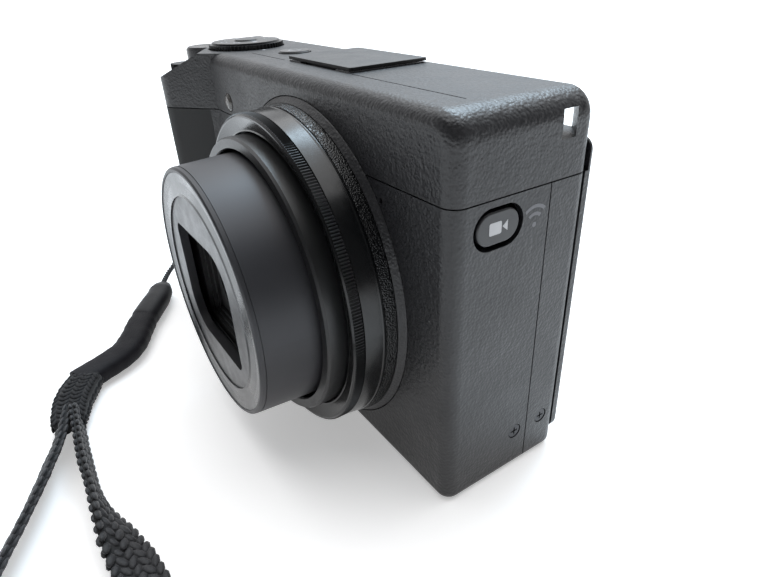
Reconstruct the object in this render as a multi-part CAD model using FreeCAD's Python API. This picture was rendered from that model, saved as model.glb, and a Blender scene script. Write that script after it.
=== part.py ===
"""Compact digital camera with a collapsing lens and a wrist strap.

Millimetres. The origin is the mouth of the tripod socket in the base plane, straight under the lens
axis. +X runs to the end with the movie button, +Y to the rear screen, and +Z up. The camera stands
on its base with the lens run out, and the strap lies on the table in front of the grip.
"""
import FreeCAD, Part
import math
import os

V = FreeCAD.Vector
AXES = {"X": V(1, 0, 0), "Y": V(0, 1, 0), "Z": V(0, 0, 1)}

# Case
WIDTH = 109.4
HEIGHT = 61.9
DEPTH = 24.9
X_BUTTON_END = 39.3
X_GRIP_END = X_BUTTON_END - WIDTH
Y_FRONT = -13.0
Y_REAR = Y_FRONT + DEPTH
WALL = 1.3
SHOULDER_R = 3.9
FRONT_EDGE_R = 2.3
REAR_EDGE_R = 2.2
BASE_EDGE_R = 1.6
SEAM_Z = 50.5
SEAM_Y = 4.25
SEAM_GAP = 0.2

# Grip
GRIP_REACH = 8.3
RIDGE_X = -50.5
GRIP_INNER_X = -40.0
FACET_CORNER = (-67.7, -16.0, 55.0)
FACET_SLOPE = (0.249, 0.423)

# Lens, with depths measured back from the front face of the case
LENS_Z = 28.8
COLLAR_R = 29.6
COLLAR_BASE_Z = 1.6
RING_OUTER_R = 28.7
RING_BORE_R = 26.9
RING_DEPTH = 8.3
BAYONET_R = 26.6
TUBE_BORE_R = 24.95
TUBE_OUTER_R = 25.5
FIRST_BARREL_R = 24.7
FRONT_BARREL_R = 21.75
LENS_REACH = 20.6
FRONT_BARREL_LENGTH = 15.6
DISC_R = 16.95
WINDOW_HALF_X = 11.4
WINDOW_HALF_Z = 10.0
WINDOW_TIGHT_R = 2.0
WINDOW_WIDE_R = 6.5
WINDOW_WALL = 1.5
BLADE_HEIGHT = 5.2
BLADE_THICKNESS = 0.3

# Deck
SHOE_X = -5.2
SHOE_FRONT_Y = -5.8
SHOE_REAR_Y = 9.2
SHOE_SLOT_WIDTH = 18.7
SHOE_SLOT_HEIGHT = 2.05
SHOE_THROAT = 12.6
SHOE_FLOOR_Z = 59.5
MODE_DIAL = (-45.3, -2.2)
MODE_DIAL_R = 8.2
SHUTTER = (-59.0, -6.9)
SHUTTER_R = 4.8
POWER = (-26.5, 0.5)
POWER_R = 3.2
FRONT_DIAL = (-52.5, -14.8)
FRONT_DIAL_R = 3.0

# Base
DOOR_X = (-67.6, -33.0)
DOOR_Y = (-10.8, 7.2)
DOOR_THICKNESS = 1.2
HINGE_R = 0.75
HINGE_PIN_R = 0.35
PLATE_X = (-31.05, 36.05)
PLATE_Y = (-10.45, 9.45)
SOCKET_BORE_R = 2.6
SOCKET_DEPTH = 5.5

# Rear controls: position (x, z) and radius
SCREEN_X = (-31.5, 36.0)
SCREEN_Z = (5.0, 51.0)
PLINTH_HEIGHT = 1.1
PLINTH_TOP_Z = 55.0
WHEEL = (-52.0, 30.0)
WHEEL_R = 9.0
CONFIRM_R = 5.0
REAR_BUTTONS = {"playback_button": (-60.0, 45.0), "menu_button": (-60.0, 14.0), "display_button": (-44.0, 14.0)}
REAR_BUTTON_R = 2.6
LEVER = (-50.0, 55.2)
LEVER_PIVOT_Y = 7.4

# Button end
MOVIE = (-5.1, 46.5)
MOVIE_SIZE = (8.8, 6.0)
SIDE_SCREWS = ((1.6, 7.9), (7.7, 8.1))

# Strap
STRING_D = 1.4
SLEEVE_D = 5.0
LOOP_D = 3.2
GAP = 0.15


# ---------------------------------------------------------------- helpers

def box(x, y, z):
    """Box from a (low, high) pair on each axis."""
    return Part.makeBox(x[1] - x[0], y[1] - y[0], z[1] - z[0], V(x[0], y[0], z[0]))


def rod(start, axis, radius, length):
    """Cylinder from start along a named axis."""
    return Part.makeCylinder(radius, length, V(*start), AXES[axis])


def join(shapes):
    """Union of several shapes without leftover seams."""
    return shapes[0].fuse(list(shapes[1:])).removeSplitter()


def place(u, v, plane, depth=0.0):
    """Point at (u, v) of a named plane, moved depth along the plane's normal."""
    return {"XY": V(u, v, depth), "XZ": V(u, depth, v), "YZ": V(depth, u, v)}[plane]


def outline(corners, plane, depth):
    """Closed face from (u, v, corner radius) points, each corner rounded by an arc."""
    ends = []
    count = len(corners)
    for index in range(count):
        u, v, radius = corners[index]
        here = V(u, v, 0)
        back = V(*corners[index - 1][:2], 0) - here
        ahead = V(*corners[(index + 1) % count][:2], 0) - here
        back.normalize()
        ahead.normalize()
        if radius <= 0:
            ends.append((here, None, here))
            continue
        half = back.getAngle(ahead) / 2
        reach = radius / math.tan(half)
        middle = back + ahead
        middle.normalize()
        bulge = here + middle * (radius / math.sin(half) - radius)
        ends.append((here + back * reach, bulge, here + ahead * reach))
    edges = []
    for index, (start, bulge, end) in enumerate(ends):
        following = ends[(index + 1) % count][0]
        if bulge is not None:
            points = [place(p.x, p.y, plane, depth) for p in (start, bulge, end)]
            edges.append(Part.Arc(*points).toShape())
        if end.distanceToPoint(following) > 1e-6:
            edges.append(Part.makeLine(place(end.x, end.y, plane, depth),
                                       place(following.x, following.y, plane, depth)))
    return Part.Face(Part.Wire(edges))


def prism(corners, plane, low, high):
    """Solid between two depths of a plane, with a rounded outline."""
    normal = place(0, 0, plane, high - low)
    return outline(corners, plane, low).extrude(normal)


def rectangle(u, v, radius):
    """Corners of a rounded rectangle from two (low, high) pairs."""
    return [(u[0], v[0], radius), (u[1], v[0], radius), (u[1], v[1], radius), (u[0], v[1], radius)]


def lathe(profile, start, axis):
    """Solid of revolution from (radius, height) points, round a named axis through start."""
    across = AXES["Z"] if axis == "X" else AXES["X"]
    points = [V(*start) + across * radius + AXES[axis] * height for radius, height in profile]
    return Part.Face(Part.makePolygon(points + points[:1])).revolve(V(*start), AXES[axis], 360)


def soften(shape, radius, chosen):
    """Round the edges that the test picks."""
    edges = [edge for edge in shape.Edges if chosen(edge)]
    return shape.makeFillet(radius, edges)


def lies_at(edge, axis, value):
    """True if every point of the edge has this coordinate."""
    bounds = edge.BoundBox
    low, high = {"X": (bounds.XMin, bounds.XMax), "Y": (bounds.YMin, bounds.YMax),
                 "Z": (bounds.ZMin, bounds.ZMax)}[axis]
    return abs(low - value) < 0.01 and abs(high - value) < 0.01


def toothed_disc(start, axis, radius, depth, teeth, length):
    """Disc with triangular teeth round its edge."""
    across, up = {"X": ("Y", "Z"), "Y": ("X", "Z"), "Z": ("X", "Y")}[axis]
    points = []
    for step in range(2 * teeth):
        reach = radius if step % 2 else radius - depth
        angle = math.pi * step / teeth
        points.append(V(*start) + AXES[across] * (reach * math.cos(angle)) + AXES[up] * (reach * math.sin(angle)))
    return Part.Face(Part.makePolygon(points + points[:1])).extrude(AXES[axis] * length)


def lens_lathe(profile):
    """Ring or tube about the lens axis from (radius, depth behind the front face) points."""
    return lathe(profile, (0, Y_FRONT, LENS_Z), "Y")


def lens_rod(radius, front, rear):
    """Cylinder on the lens axis between two depths."""
    return rod((0, Y_FRONT + front, LENS_Z), "Y", radius, rear - front)


# ---------------------------------------------------------------- case

def case_solid(inset):
    """Case without its grip, shrunk by inset on every side."""
    x = (X_GRIP_END + inset, X_BUTTON_END - inset)
    y = (Y_FRONT + inset, Y_REAR - inset)
    z = (inset, HEIGHT - inset)
    shoulder = SHOULDER_R - inset
    solid = prism([(x[0], z[0], 0), (x[1], z[0], 0), (x[1], z[1], shoulder), (x[0], z[1], shoulder)], "XZ", *y)
    for depth, radius in ((y[0], FRONT_EDGE_R - inset), (y[1], REAR_EDGE_R - inset)):
        solid = soften(solid, radius, lambda e: lies_at(e, "Y", depth) and e.CenterOfMass.z > z[0] + 1)
    return soften(solid, BASE_EDGE_R - inset, lambda e: lies_at(e, "Z", z[0]))


def facet_cutter(inset):
    """Everything above the sloping facet at the grip's upper corner."""
    x, y, z = FACET_CORNER
    rise_x, rise_y = FACET_SLOPE
    height = lambda u, v: z + rise_x * (u - x) + rise_y * (v - y) - inset
    corners = [(-90, -40), (0, -40), (0, 30), (-90, 30)]
    low = Part.makePolygon([V(u, v, height(u, v)) for u, v in corners + corners[:1]])
    return Part.Face(low).extrude(V(0, 0, 60))


def grip_bulge(inset):
    """Forward swell of the grip, shrunk by inset."""
    nose_y = Y_FRONT - GRIP_REACH
    corners = [(X_GRIP_END, Y_FRONT + 5, 0), (X_GRIP_END, nose_y + 5.1, 3.5), (RIDGE_X, nose_y + 0.1, 4.0),
               (GRIP_INNER_X + 6.4, Y_FRONT + 5, 0)]
    face = outline(corners, "XY", inset)
    if inset:
        face = face.makeOffset2D(-inset)
    solid = face.extrude(V(0, 0, HEIGHT - 2 * inset))
    shoulder = SHOULDER_R - inset
    x = (X_GRIP_END + inset, 0)
    z = (inset, HEIGHT - inset)
    return solid.common(prism([(x[0], z[0], 0), (x[1], z[0], 0), (x[1], z[1], 0), (x[0], z[1], shoulder)],
                              "XZ", nose_y - 5, Y_FRONT + 6))


def camera_solid(inset):
    """Case and grip together, shrunk by inset, cut by the facet."""
    return join([case_solid(inset), grip_bulge(inset)]).cut(facet_cutter(inset))


def lens_opening():
    """Round opening in the front, kept clear of the base edge."""
    return lens_rod(COLLAR_R + GAP, -2, WALL + 1).common(box((-40, 40), (-20, 0), (COLLAR_BASE_Z - GAP, 70)))


def eyelet(end_x, side):
    """Slanted strap slot through the rear upper corner at one end."""
    leg = 5.3
    half_width = 0.95
    start = V(end_x, Y_REAR - leg, 0)
    finish = V(end_x - side * leg, Y_REAR, 0)
    along = finish - start
    along.normalize()
    across = V(-along.y, along.x, 0) * half_width
    start = start - along * 4
    finish = finish + along * 4
    points = [start + across, finish + across, finish - across, start - across]
    lifted = [V(p.x, p.y, 55.9) for p in points]
    return Part.Face(Part.makePolygon(lifted + lifted[:1])).extrude(V(0, 0, 3.8))


def strap_bar(end_x, side):
    """Metal bar that lines the bottom of one eyelet."""
    reach = 3.4
    x = sorted((end_x - side * 1.3, end_x - side * (1.3 + reach)))
    bar = box(x, (Y_REAR - 6.3, Y_REAR - 2.6), (55.1, 55.85))
    return bar.common(camera_solid(0.4))


def covers():
    """Top, front, rear and grip covers, split from one skin along its seams."""
    outer = camera_solid(0)
    skin = outer.cut(camera_solid(WALL)).cut(lens_opening())
    half = SEAM_GAP / 2
    everywhere = (-90, 90)
    top = skin.common(box(everywhere, everywhere, (SEAM_Z + half, 90)))
    lower = skin.common(box(everywhere, everywhere, (-5, SEAM_Z - half)))
    front = lower.common(box(everywhere, (-40, SEAM_Y - half), everywhere))
    rear = lower.common(box(everywhere, (SEAM_Y + half, 40), everywhere))
    grip_zone = box((-90, GRIP_INNER_X - 1.5), (-40, Y_FRONT - 0.6), everywhere)
    grip = front.common(grip_zone)
    front = front.cut(grip_zone)
    return {"top_cover": top_cover(top, outer), "front_cover": front_cover(front),
            "rear_cover": rear_cover(rear), "grip_cover": grip}


def shoe_recess():
    """Space in the deck for the hot shoe, open to the rear."""
    half = SHOE_SLOT_WIDTH / 2 + 1.4
    well = box((SHOE_X - half, SHOE_X + half), (SHOE_FRONT_Y - GAP, SHOE_REAR_Y + GAP), (SHOE_FLOOR_Z - 1, 70))
    mouth_half = SHOE_SLOT_WIDTH / 2 + 0.3
    mouth = box((SHOE_X - mouth_half, SHOE_X + mouth_half), (SHOE_REAR_Y, 20), (SHOE_FLOOR_Z, 70))
    return well.fuse(mouth)


def deck_grooves():
    """Fine groove along the front of the deck, on both sides of the hot shoe."""
    y = (Y_FRONT + 6.7, Y_FRONT + 6.95)
    z = (HEIGHT - 0.35, HEIGHT + 1)
    return [box((SHOE_X + 12, 33.5), y, z), box((-33.0, SHOE_X - 12), y, z)]


def dial_pocket(wall, floor_z):
    """Upright pocket of the front dial, or with a wall the block that it is sunk into."""
    x, y = FRONT_DIAL
    reach = FRONT_DIAL_R + 0.45 + wall
    return prism(rectangle((x - reach, x + reach), (y - reach, y + reach), 1.6), "XY", floor_z, 70)


def top_cover(skin, outer):
    """Deck with its well for the shoe, dial and buttons, and the two strap eyelets."""
    blocks = [box((X_BUTTON_END - 7, X_BUTTON_END), (3.4, Y_REAR), (54.6, HEIGHT)),
              box((X_GRIP_END, X_GRIP_END + 7), (3.4, Y_REAR), (54.6, HEIGHT))]
    blocks.append(dial_pocket(0.9, 54.4))
    cover = join([skin] + [block.common(outer) for block in blocks])
    tools = [shoe_recess(), eyelet(X_BUTTON_END, 1), eyelet(X_GRIP_END, -1)] + deck_grooves()
    tools += [strap_bar(X_BUTTON_END, 1), strap_bar(X_GRIP_END, -1)]
    tools.append(rod((*MODE_DIAL, HEIGHT - 3), "Z", MODE_DIAL_R + 0.25, 6))
    tools.append(rod((*SHUTTER, HEIGHT - 5.5), "Z", SHUTTER_R + 0.2, 9))
    tools.append(rod((*POWER, HEIGHT - 3), "Z", POWER_R + 0.2, 6))
    tools.append(rod((-32.0, Y_FRONT - 2, 53.1), "Y", 1.9, 6))
    tools.append(screen_opening())
    tools.append(prism(rectangle((LEVER[0] - 4.9, LEVER[0] + 4.9), (LEVER[1] - 2.3, LEVER[1] + 2.3), 1.0),
                       "XZ", Y_REAR - 3, Y_REAR + 2))
    tools.append(dial_pocket(0.0, 55.3))
    for tool in tools:
        cover = cover.cut(tool)
    return cover


def stadium(centre, size, plane, low, high):
    """Slot-shaped solid with full round ends."""
    u = (centre[0] - size[0] / 2, centre[0] + size[0] / 2)
    v = (centre[1] - size[1] / 2, centre[1] + size[1] / 2)
    return prism(rectangle(u, v, min(size) / 2 - 0.01), plane, low, high)


def base_openings():
    """Openings in the base for the battery door and the base plate."""
    z = (-1, WALL + 0.3)
    door_x = (DOOR_X[0] - GAP, DOOR_X[1] + GAP)
    door_y = (DOOR_Y[0] - GAP, DOOR_Y[1] + HINGE_R + GAP)
    plate_x = (PLATE_X[0] - GAP, PLATE_X[1] + GAP)
    plate_y = (PLATE_Y[0] - GAP, PLATE_Y[1] + GAP)
    return [box(door_x, door_y, z), prism(rectangle(plate_x, plate_y, 2.0), "XY", *z)]


def front_cover(skin):
    """Front and base half with holes for the microphone, movie button and ring release."""
    tools = base_openings()
    tools.append(rod((23.9, Y_FRONT - 1, 47.6), "Y", 0.42, 4))
    tools.append(rod((-27.5, Y_FRONT - 1, 9.5), "Y", 2.4, 4))
    slot = (MOVIE_SIZE[0], MOVIE_SIZE[1])
    tools.append(stadium(MOVIE, slot, "YZ", X_BUTTON_END - 3, X_BUTTON_END + 1))
    tools.append(rod((X_BUTTON_END - 0.7, *SIDE_SCREWS[0]), "X", 1.35, 3))
    tools.append(rod((X_BUTTON_END - 3, *SIDE_SCREWS[0]), "X", 0.65, 5))
    for tool in tools:
        skin = skin.cut(tool)
    return skin


def screen_opening():
    """Opening in the rear for the screen window."""
    x = (SCREEN_X[0] - GAP, SCREEN_X[1] + GAP)
    z = (SCREEN_Z[0] - GAP, SCREEN_Z[1] + GAP)
    return prism(rectangle(x, z, 2.5), "XZ", Y_REAR - 2, Y_REAR + 2)


def screen_plinth():
    """Raised frame round the screen, its upper lip lying over the top cover."""
    plate = prism(rectangle((SCREEN_X[0] - 1.8, X_BUTTON_END - 0.35), (2.6, PLINTH_TOP_Z), 2.0),
                  "XZ", Y_REAR - 0.5, Y_REAR + PLINTH_HEIGHT)
    plate = soften(plate, 0.8, lambda e: lies_at(e, "Y", Y_REAR + PLINTH_HEIGHT))
    return plate.cut(box((-90, 90), (Y_REAR - 1, Y_REAR + GAP), (SEAM_Z - SEAM_GAP / 2, 90)))


def rear_cover(skin):
    """Rear half with openings for the screen, the controls and the USB socket."""
    skin = join([skin, screen_plinth()])
    tools = base_openings() + [screen_opening()]
    tools.append(rod((WHEEL[0], Y_REAR - 3, WHEEL[1]), "Y", WHEEL_R + 0.25, 6))
    for x, z in REAR_BUTTONS.values():
        tools.append(rod((x, Y_REAR - 3, z), "Y", REAR_BUTTON_R + 0.2, 6))
    tools.append(rod((X_BUTTON_END - 0.7, *SIDE_SCREWS[1]), "X", 1.35, 3))
    tools.append(rod((X_BUTTON_END - 3, *SIDE_SCREWS[1]), "X", 0.65, 5))
    tools.append(box((X_GRIP_END - 1, X_GRIP_END + 1.1), (4.6, 9.75), (11.4, 24.1)))
    tools.append(box((X_GRIP_END - 1, X_GRIP_END + 3), (4.75, 8.05), (13.1, 22.4)))
    for tool in tools:
        skin = skin.cut(tool)
    return skin


def base_plate():
    """Metal plate in the base with the tripod hole, screw holes and speaker slots."""
    plate = prism(rectangle(PLATE_X, PLATE_Y, 1.9), "XY", 0, DOOR_THICKNESS)
    plate = plate.cut(rod((0, 0, -1), "Z", 5.05, 4))
    for x, y in base_screw_places():
        plate = plate.cut(rod((x, y, -0.5), "Z", 1.35, 1.15)).cut(rod((x, y, -1), "Z", 0.65, 4))
    for step in range(5):
        x = 18.0 + 1.6 * step
        plate = plate.cut(box((x, x + 0.7), (2.0, 7.0), (-1, 3)))
    return plate


def base_screw_places():
    """Centres of the base screws."""
    return [(x, y) for x in (PLATE_X[0] + 4, PLATE_X[1] - 4) for y in (-7.0, 6.0)]


def countersunk_screw(start, axis, inward, length):
    """Screw with a flat cross-recess head; inward is +1 or -1 along the axis."""
    direction = AXES[axis] * inward
    base = V(*start)
    head = Part.makeCylinder(1.2, 0.55, base, direction)
    shank = Part.makeCylinder(0.6, length, base, direction)
    screw = head.fuse(shank)
    across = {"X": ("Y", "Z"), "Z": ("X", "Y")}[axis]
    for name, other in (across, across[::-1]):
        corner = base - AXES[name] * 0.7 - AXES[other] * 0.14 - direction * 0.01
        size = AXES[name] * 1.4 + AXES[other] * 0.28 + direction * 0.32
        ends = (corner, corner + size)
        screw = screw.cut(box(*[sorted((ends[0][i], ends[1][i])) for i in range(3)]))
    return screw


def case_screws():
    """The two recessed screws in the button end and the four in the base plate."""
    side = [countersunk_screw((X_BUTTON_END - 0.1, *spot), "X", -1, 4.6) for spot in SIDE_SCREWS]
    base = [countersunk_screw((x, y, 0.05), "Z", 1, 3.4) for x, y in base_screw_places()]
    return Part.makeCompound(side + base)


# ---------------------------------------------------------------- inside

def chassis():
    """Metal frame behind the lens that carries the lens tube, sensor, socket and base screws."""
    plate = box((-30.0, 36.2), (-5.1, -4.1), (1.3, 49.5))
    plate = plate.cut(box((-16, 16), (-7, 0), (LENS_Z - 13, LENS_Z + 13)))
    plate = plate.cut(box((-7.2, 7.2), (-7, 0), (0, 7.2)))
    feet = [box((x - 3, x + 3), (-9.5, 8.5), (1.3, 3.0)) for x in (PLATE_X[0] + 4, PLATE_X[1] - 4)]
    frame = join([plate] + feet)
    for x, y in base_screw_places():
        frame = frame.cut(rod((x, y, 0), "Z", 0.6, 6))
    return frame


def tripod_socket():
    """Blind socket for a tripod screw, with a flange above the base plate."""
    socket = lathe([(0, 6.9), (5.0, 6.9), (5.0, 2.3), (6.6, 2.3), (6.6, 1.25), (5.0, 1.25), (5.0, 0),
                    (SOCKET_BORE_R, 0), (SOCKET_BORE_R, SOCKET_DEPTH), (0, SOCKET_DEPTH)], (0, 0, 0), "Z")
    return socket


def sensor_unit():
    """Shift frame with the image sensor behind its opening."""
    frame = box((-20, 20), (-4.05, 1.0), (LENS_Z - 17, LENS_Z + 17))
    frame = frame.cut(box((-13, 13), (-5, 0.0), (LENS_Z - 9.5, LENS_Z + 9.5)))
    return frame.fuse(box((-15, 15), (1.0, 2.6), (LENS_Z - 11, LENS_Z + 11)))


def main_board():
    """Circuit board with its processor, memory and cable sockets."""
    board = box((-30.5, 37.0), (4.3, 5.2), (7.6, 49.8))
    chips = [box((-10, 4), (3.3, 4.3), (26, 40)), box((8, 17), (3.3, 4.3), (30, 38)),
             box((-26, -16), (3.3, 4.3), (12, 15)), box((20, 32), (3.3, 4.3), (12, 15))]
    return join([board] + chips)


def battery_box():
    """Open-bottomed well that guides the battery."""
    outer = box((-67.3, -33.5), (-11.4, -0.9), (2.0, 43.8))
    return outer.cut(box((-66.6, -34.2), (-10.7, -1.6), (0, 43.1)))


def battery():
    """Flat rechargeable pack with three contacts."""
    pack = prism(rectangle((-66.4, -34.4), (-10.5, -1.8), 1.2), "XY", 1.9, 42.2)
    for step in range(3):
        pack = pack.cut(box((-62 + 4 * step, -60 + 4 * step), (-8, -4), (41.8, 43)))
    return pack


def card_slot():
    """Sheet-metal socket for the memory card."""
    outer = box((-63, -37), (-0.5, 3.4), (4.5, 38))
    return outer.cut(box((-62.15, -37.85), (0.35, 2.75), (0, 37.2)))


def memory_card():
    """Memory card with its cut corner."""
    card = box((-62.0, -38.0), (0.5, 2.6), (3.0, 35.0))
    corner = prism([(-42, 35.1, 0), (-37, 35.1, 0), (-37, 31, 0)], "XZ", -1, 4)
    return card.cut(corner)


def battery_door():
    """Base door with a round hinge edge and a recess for its latch."""
    plate = box(DOOR_X, DOOR_Y, (0, DOOR_THICKNESS))
    edge_x = (DOOR_X[0] + 1.0, DOOR_X[1] - 1.0)
    edge = rod((edge_x[0], DOOR_Y[1], HINGE_R), "X", HINGE_R, edge_x[1] - edge_x[0])
    door = join([plate, edge])
    door = door.cut(rod((DOOR_X[0] - 1, DOOR_Y[1], HINGE_R), "X", HINGE_PIN_R + 0.05, 40))
    for end in DOOR_X:
        door = door.cut(box((end - 1.0, end + 1.0), (DOOR_Y[1] - HINGE_R, DOOR_Y[1] + 2), (-1, 3)))
    return door.cut(box((-55.2, -45.4), (-9.6, -4.4), (-1, 0.7)))


def battery_latch():
    """Sliding knob that locks the battery door."""
    knob = prism(rectangle((-55.0, -45.6), (-9.45, -6.6), 0.8), "XY", 0.1, 0.62)
    for step in range(4):
        knob = knob.cut(box((-53.4 + 2 * step, -52.9 + 2 * step), (-9, -7), (0, 0.3)))
    return knob


def hinge_pin():
    """Pin of the battery door."""
    return rod((DOOR_X[0] - 0.8, DOOR_Y[1], HINGE_R), "X", HINGE_PIN_R, DOOR_X[1] - DOOR_X[0] + 1.6)


def screen_module():
    """Display panel behind its window."""
    return box((SCREEN_X[0] + 2, SCREEN_X[1] - 2), (6.6, 10.2), (SCREEN_Z[0] + 3, SCREEN_Z[1] - 4))


def screen_window():
    """Flat window that stands a little proud of the rear."""
    window = prism(rectangle(SCREEN_X, SCREEN_Z, 2.4), "XZ", Y_REAR - 1.6, Y_REAR + 1.2)
    return soften(window, 0.5, lambda e: lies_at(e, "Y", Y_REAR + 1.2))


def usb_socket():
    """Metal shell of the USB socket with its tongue."""
    shell = prism(rectangle((4.9, 7.9), (13.3, 22.2), 1.45), "YZ", X_GRIP_END + 1.15, X_GRIP_END + 8)
    shell = shell.cut(prism(rectangle((5.2, 7.6), (13.6, 21.9), 1.15), "YZ", X_GRIP_END + 1, X_GRIP_END + 7))
    return shell.fuse(box((X_GRIP_END + 1.9, X_GRIP_END + 7.2), (6.05, 6.75), (14.6, 20.9)))


def usb_cover():
    """Soft flap over the USB socket, hinged at its rear edge."""
    flap = box((X_GRIP_END, X_GRIP_END + 1.0), (4.75, 9.1), (11.55, 23.95))
    return join([flap, rod((X_GRIP_END + 0.5, 9.1, 11.55), "Z", 0.5, 12.4)])


def speaker():
    """Small round speaker over the slots in the base plate."""
    return rod((21.6, 4.5, 1.3), "Z", 4.0, 3.0)


# ---------------------------------------------------------------- lens

def lens_collar():
    """Sloped collar round the lens, clipped at the base edge."""
    ring = lens_lathe([(TUBE_OUTER_R + 0.1, -1.0), (RING_OUTER_R, -1.0), (COLLAR_R - 0.1, -0.15), (COLLAR_R, 0),
                       (COLLAR_R, WALL), (TUBE_OUTER_R + 0.1, WALL)])
    return ring.common(box((-40, 40), (-30, 10), (COLLAR_BASE_Z, 70)))


def bayonet_ring():
    """Fixed mount ring under the ring cap, with three lugs."""
    ring = lens_lathe([(TUBE_OUTER_R + 0.05, -6.8), (BAYONET_R, -6.8), (BAYONET_R, -1.0), (TUBE_OUTER_R + 0.05, -1.0)])
    lug = lens_lathe([(BAYONET_R - 0.1, -4.3), (27.15, -4.3), (27.15, -3.3), (BAYONET_R - 0.1, -3.3)])
    return join([ring] + [lug.common(wedge) for wedge in sectors(38, 0)])


def sectors(width_deg, offset_deg):
    """Three equal wedges round the lens axis."""
    wedges = []
    for step in range(3):
        wedge = Part.makeCylinder(40, 14, V(0, Y_FRONT - 12, LENS_Z), AXES["Y"], width_deg)
        wedge.rotate(V(0, 0, LENS_Z), AXES["Y"], offset_deg + 120 * step)
        wedges.append(wedge)
    return wedges


def ring_cap():
    """Removable ring round the lens: bevel, smooth wall, knurled band and conical front."""
    bore = RING_BORE_R
    profile = [(bore, -1.15), (RING_OUTER_R, -1.15), (RING_OUTER_R, -1.35), (28.5, -2.95), (28.32, -3.0),
               (28.32, -3.25), (28.42, -3.3), (28.34, -3.55), (28.05, -6.4), (27.85, -6.5), (27.85, -8.05),
               (27.6, -RING_DEPTH), (27.35, -RING_DEPTH), (25.35, -7.55), (25.1, -7.6), (25.1, -7.1), (bore, -7.05)]
    cap = lens_lathe(profile)
    groove_r = 27.35
    groove = lens_lathe([(bore - 1, -4.6), (groove_r, -4.6), (groove_r, -3.0), (bore - 1, -3.0)])
    entry = lens_lathe([(bore - 1, -3.1), (groove_r, -3.1), (groove_r, -1.0), (bore - 1, -1.0)])
    cap = cap.cut(groove)
    for wedge in sectors(44, 47):
        cap = cap.cut(entry.common(wedge))
    return cap


def fixed_lens_tube():
    """Guide tube of the collapsing barrels, with a rear flange on the chassis."""
    return lens_lathe([(TUBE_BORE_R, -6.6), (TUBE_OUTER_R, -6.6), (TUBE_OUTER_R, 6.7), (26.2, 6.7), (26.2, 7.9),
                       (TUBE_BORE_R, 7.9)])


def first_barrel():
    """Outer moving barrel with a rounded front lip."""
    return lens_lathe([(23.9, 1.0), (24.7, 1.0), (24.7, -10.5), (24.45, -10.95), (22.95, -10.95), (22.75, -10.7),
                       (22.75, -10.3), (23.9, -10.2)])


def front_barrel():
    """Inner moving barrel with a guide flange at its rear and a fine groove near its front."""
    rear = FRONT_BARREL_LENGTH - LENS_REACH
    front = -LENS_REACH
    radius = FRONT_BARREL_R
    return lens_lathe([(20.9, rear), (23.7, rear), (23.7, rear - 1.2), (22.4, rear - 1.2), (radius, front + 0.95),
                       (radius - 0.12, front + 0.93), (radius - 0.12, front + 0.8), (radius, front + 0.78),
                       (radius - 0.1, front + 0.25), (radius - 0.4, front), (radius - 0.75, front), (20.9, front + 0.1)])


def bezel_ring():
    """Dished ring between the front edge of the barrel and the inner disc."""
    front = -LENS_REACH
    return lens_lathe([(20.85, front + 0.15), (19.3, front + 0.35), (17.4, front + 0.25), (DISC_R + 0.05, front + 0.1),
                       (DISC_R + 0.05, front + 0.85), (20.85, front + 0.85)])


def window_prism(margin, low, high):
    """Window shape between two depths, grown by margin; two opposite corners are rounder."""
    x = (-WINDOW_HALF_X - margin, WINDOW_HALF_X + margin)
    z = (LENS_Z - WINDOW_HALF_Z - margin, LENS_Z + WINDOW_HALF_Z + margin)
    tight = WINDOW_TIGHT_R + margin
    wide = WINDOW_WIDE_R + margin
    corners = [(x[0], z[0], wide), (x[1], z[0], tight), (x[1], z[1], wide), (x[0], z[1], tight)]
    return prism(corners, "XZ", Y_FRONT + low, Y_FRONT + high)


def inner_disc():
    """Flat disc in front of the glass, with a walled window."""
    front = -LENS_REACH
    disc = lens_rod(DISC_R, front + 0.35, front + 0.85)
    wall = window_prism(0.6, front + 0.6, front + 0.35 + WINDOW_WALL)
    return join([disc, wall]).cut(window_prism(0, front - 5, front + 5))


def barrier_blades():
    """Two pairs of barrier blades, parked in two layers above and below the window."""
    blades = {}
    first = -LENS_REACH + 0.35 + WINDOW_WALL + 0.2
    for layer, row in enumerate(("leading", "trailing")):
        y = Y_FRONT + first + layer * (BLADE_THICKNESS + 0.15)
        for name, side in (("upper", 1), ("lower", -1)):
            near = LENS_Z + side * (WINDOW_HALF_Z + 0.6)
            z = sorted((near, near + side * BLADE_HEIGHT))
            blades[f"{name}_{row}_blade"] = box((-WINDOW_HALF_X - 0.4, WINDOW_HALF_X + 0.4),
                                                (y, y + BLADE_THICKNESS), z)
    return blades


def lens_cell():
    """Black cell with a rectangular stepped baffle that holds the glass."""
    front = -LENS_REACH
    cell = lens_rod(20.8, front + 3.1, front + 13.5)
    for step in range(3):
        half_x = 11.0 - 1.1 * step
        half_z = 9.4 - 0.7 * step
        y = (Y_FRONT + front + 3.0, Y_FRONT + front + 3.7 + 0.6 * step)
        cell = cell.cut(box((-half_x, half_x), y, (LENS_Z - half_z, LENS_Z + half_z)))
    cell = cell.cut(lens_rod(7.5, front, front + 8.0))
    return cell.cut(lens_rod(9.0, front + 8.0, front + 14.0))


def glass(radius, front, thickness, bulge):
    """Lens element: flat rear, front swollen by bulge."""
    sphere_r = (radius ** 2 + bulge ** 2) / (2 * bulge)
    ball = Part.makeSphere(sphere_r, V(0, Y_FRONT + front + sphere_r, LENS_Z))
    return lens_rod(radius, front, front + thickness + bulge).common(ball)


def lens_groups():
    """Front and rear glass."""
    front = -LENS_REACH
    return {"front_lens_group": glass(7.45, front + 5.0, 1.8, 1.3), "rear_lens_group": glass(8.9, front + 10.2, 1.8, 1.2)}


def shutter_unit():
    """Aperture and leaf shutter between the two groups."""
    front = -LENS_REACH
    return lens_rod(8.9, front + 8.2, front + 10.0).cut(lens_rod(4.2, front + 8, front + 11))


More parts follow.
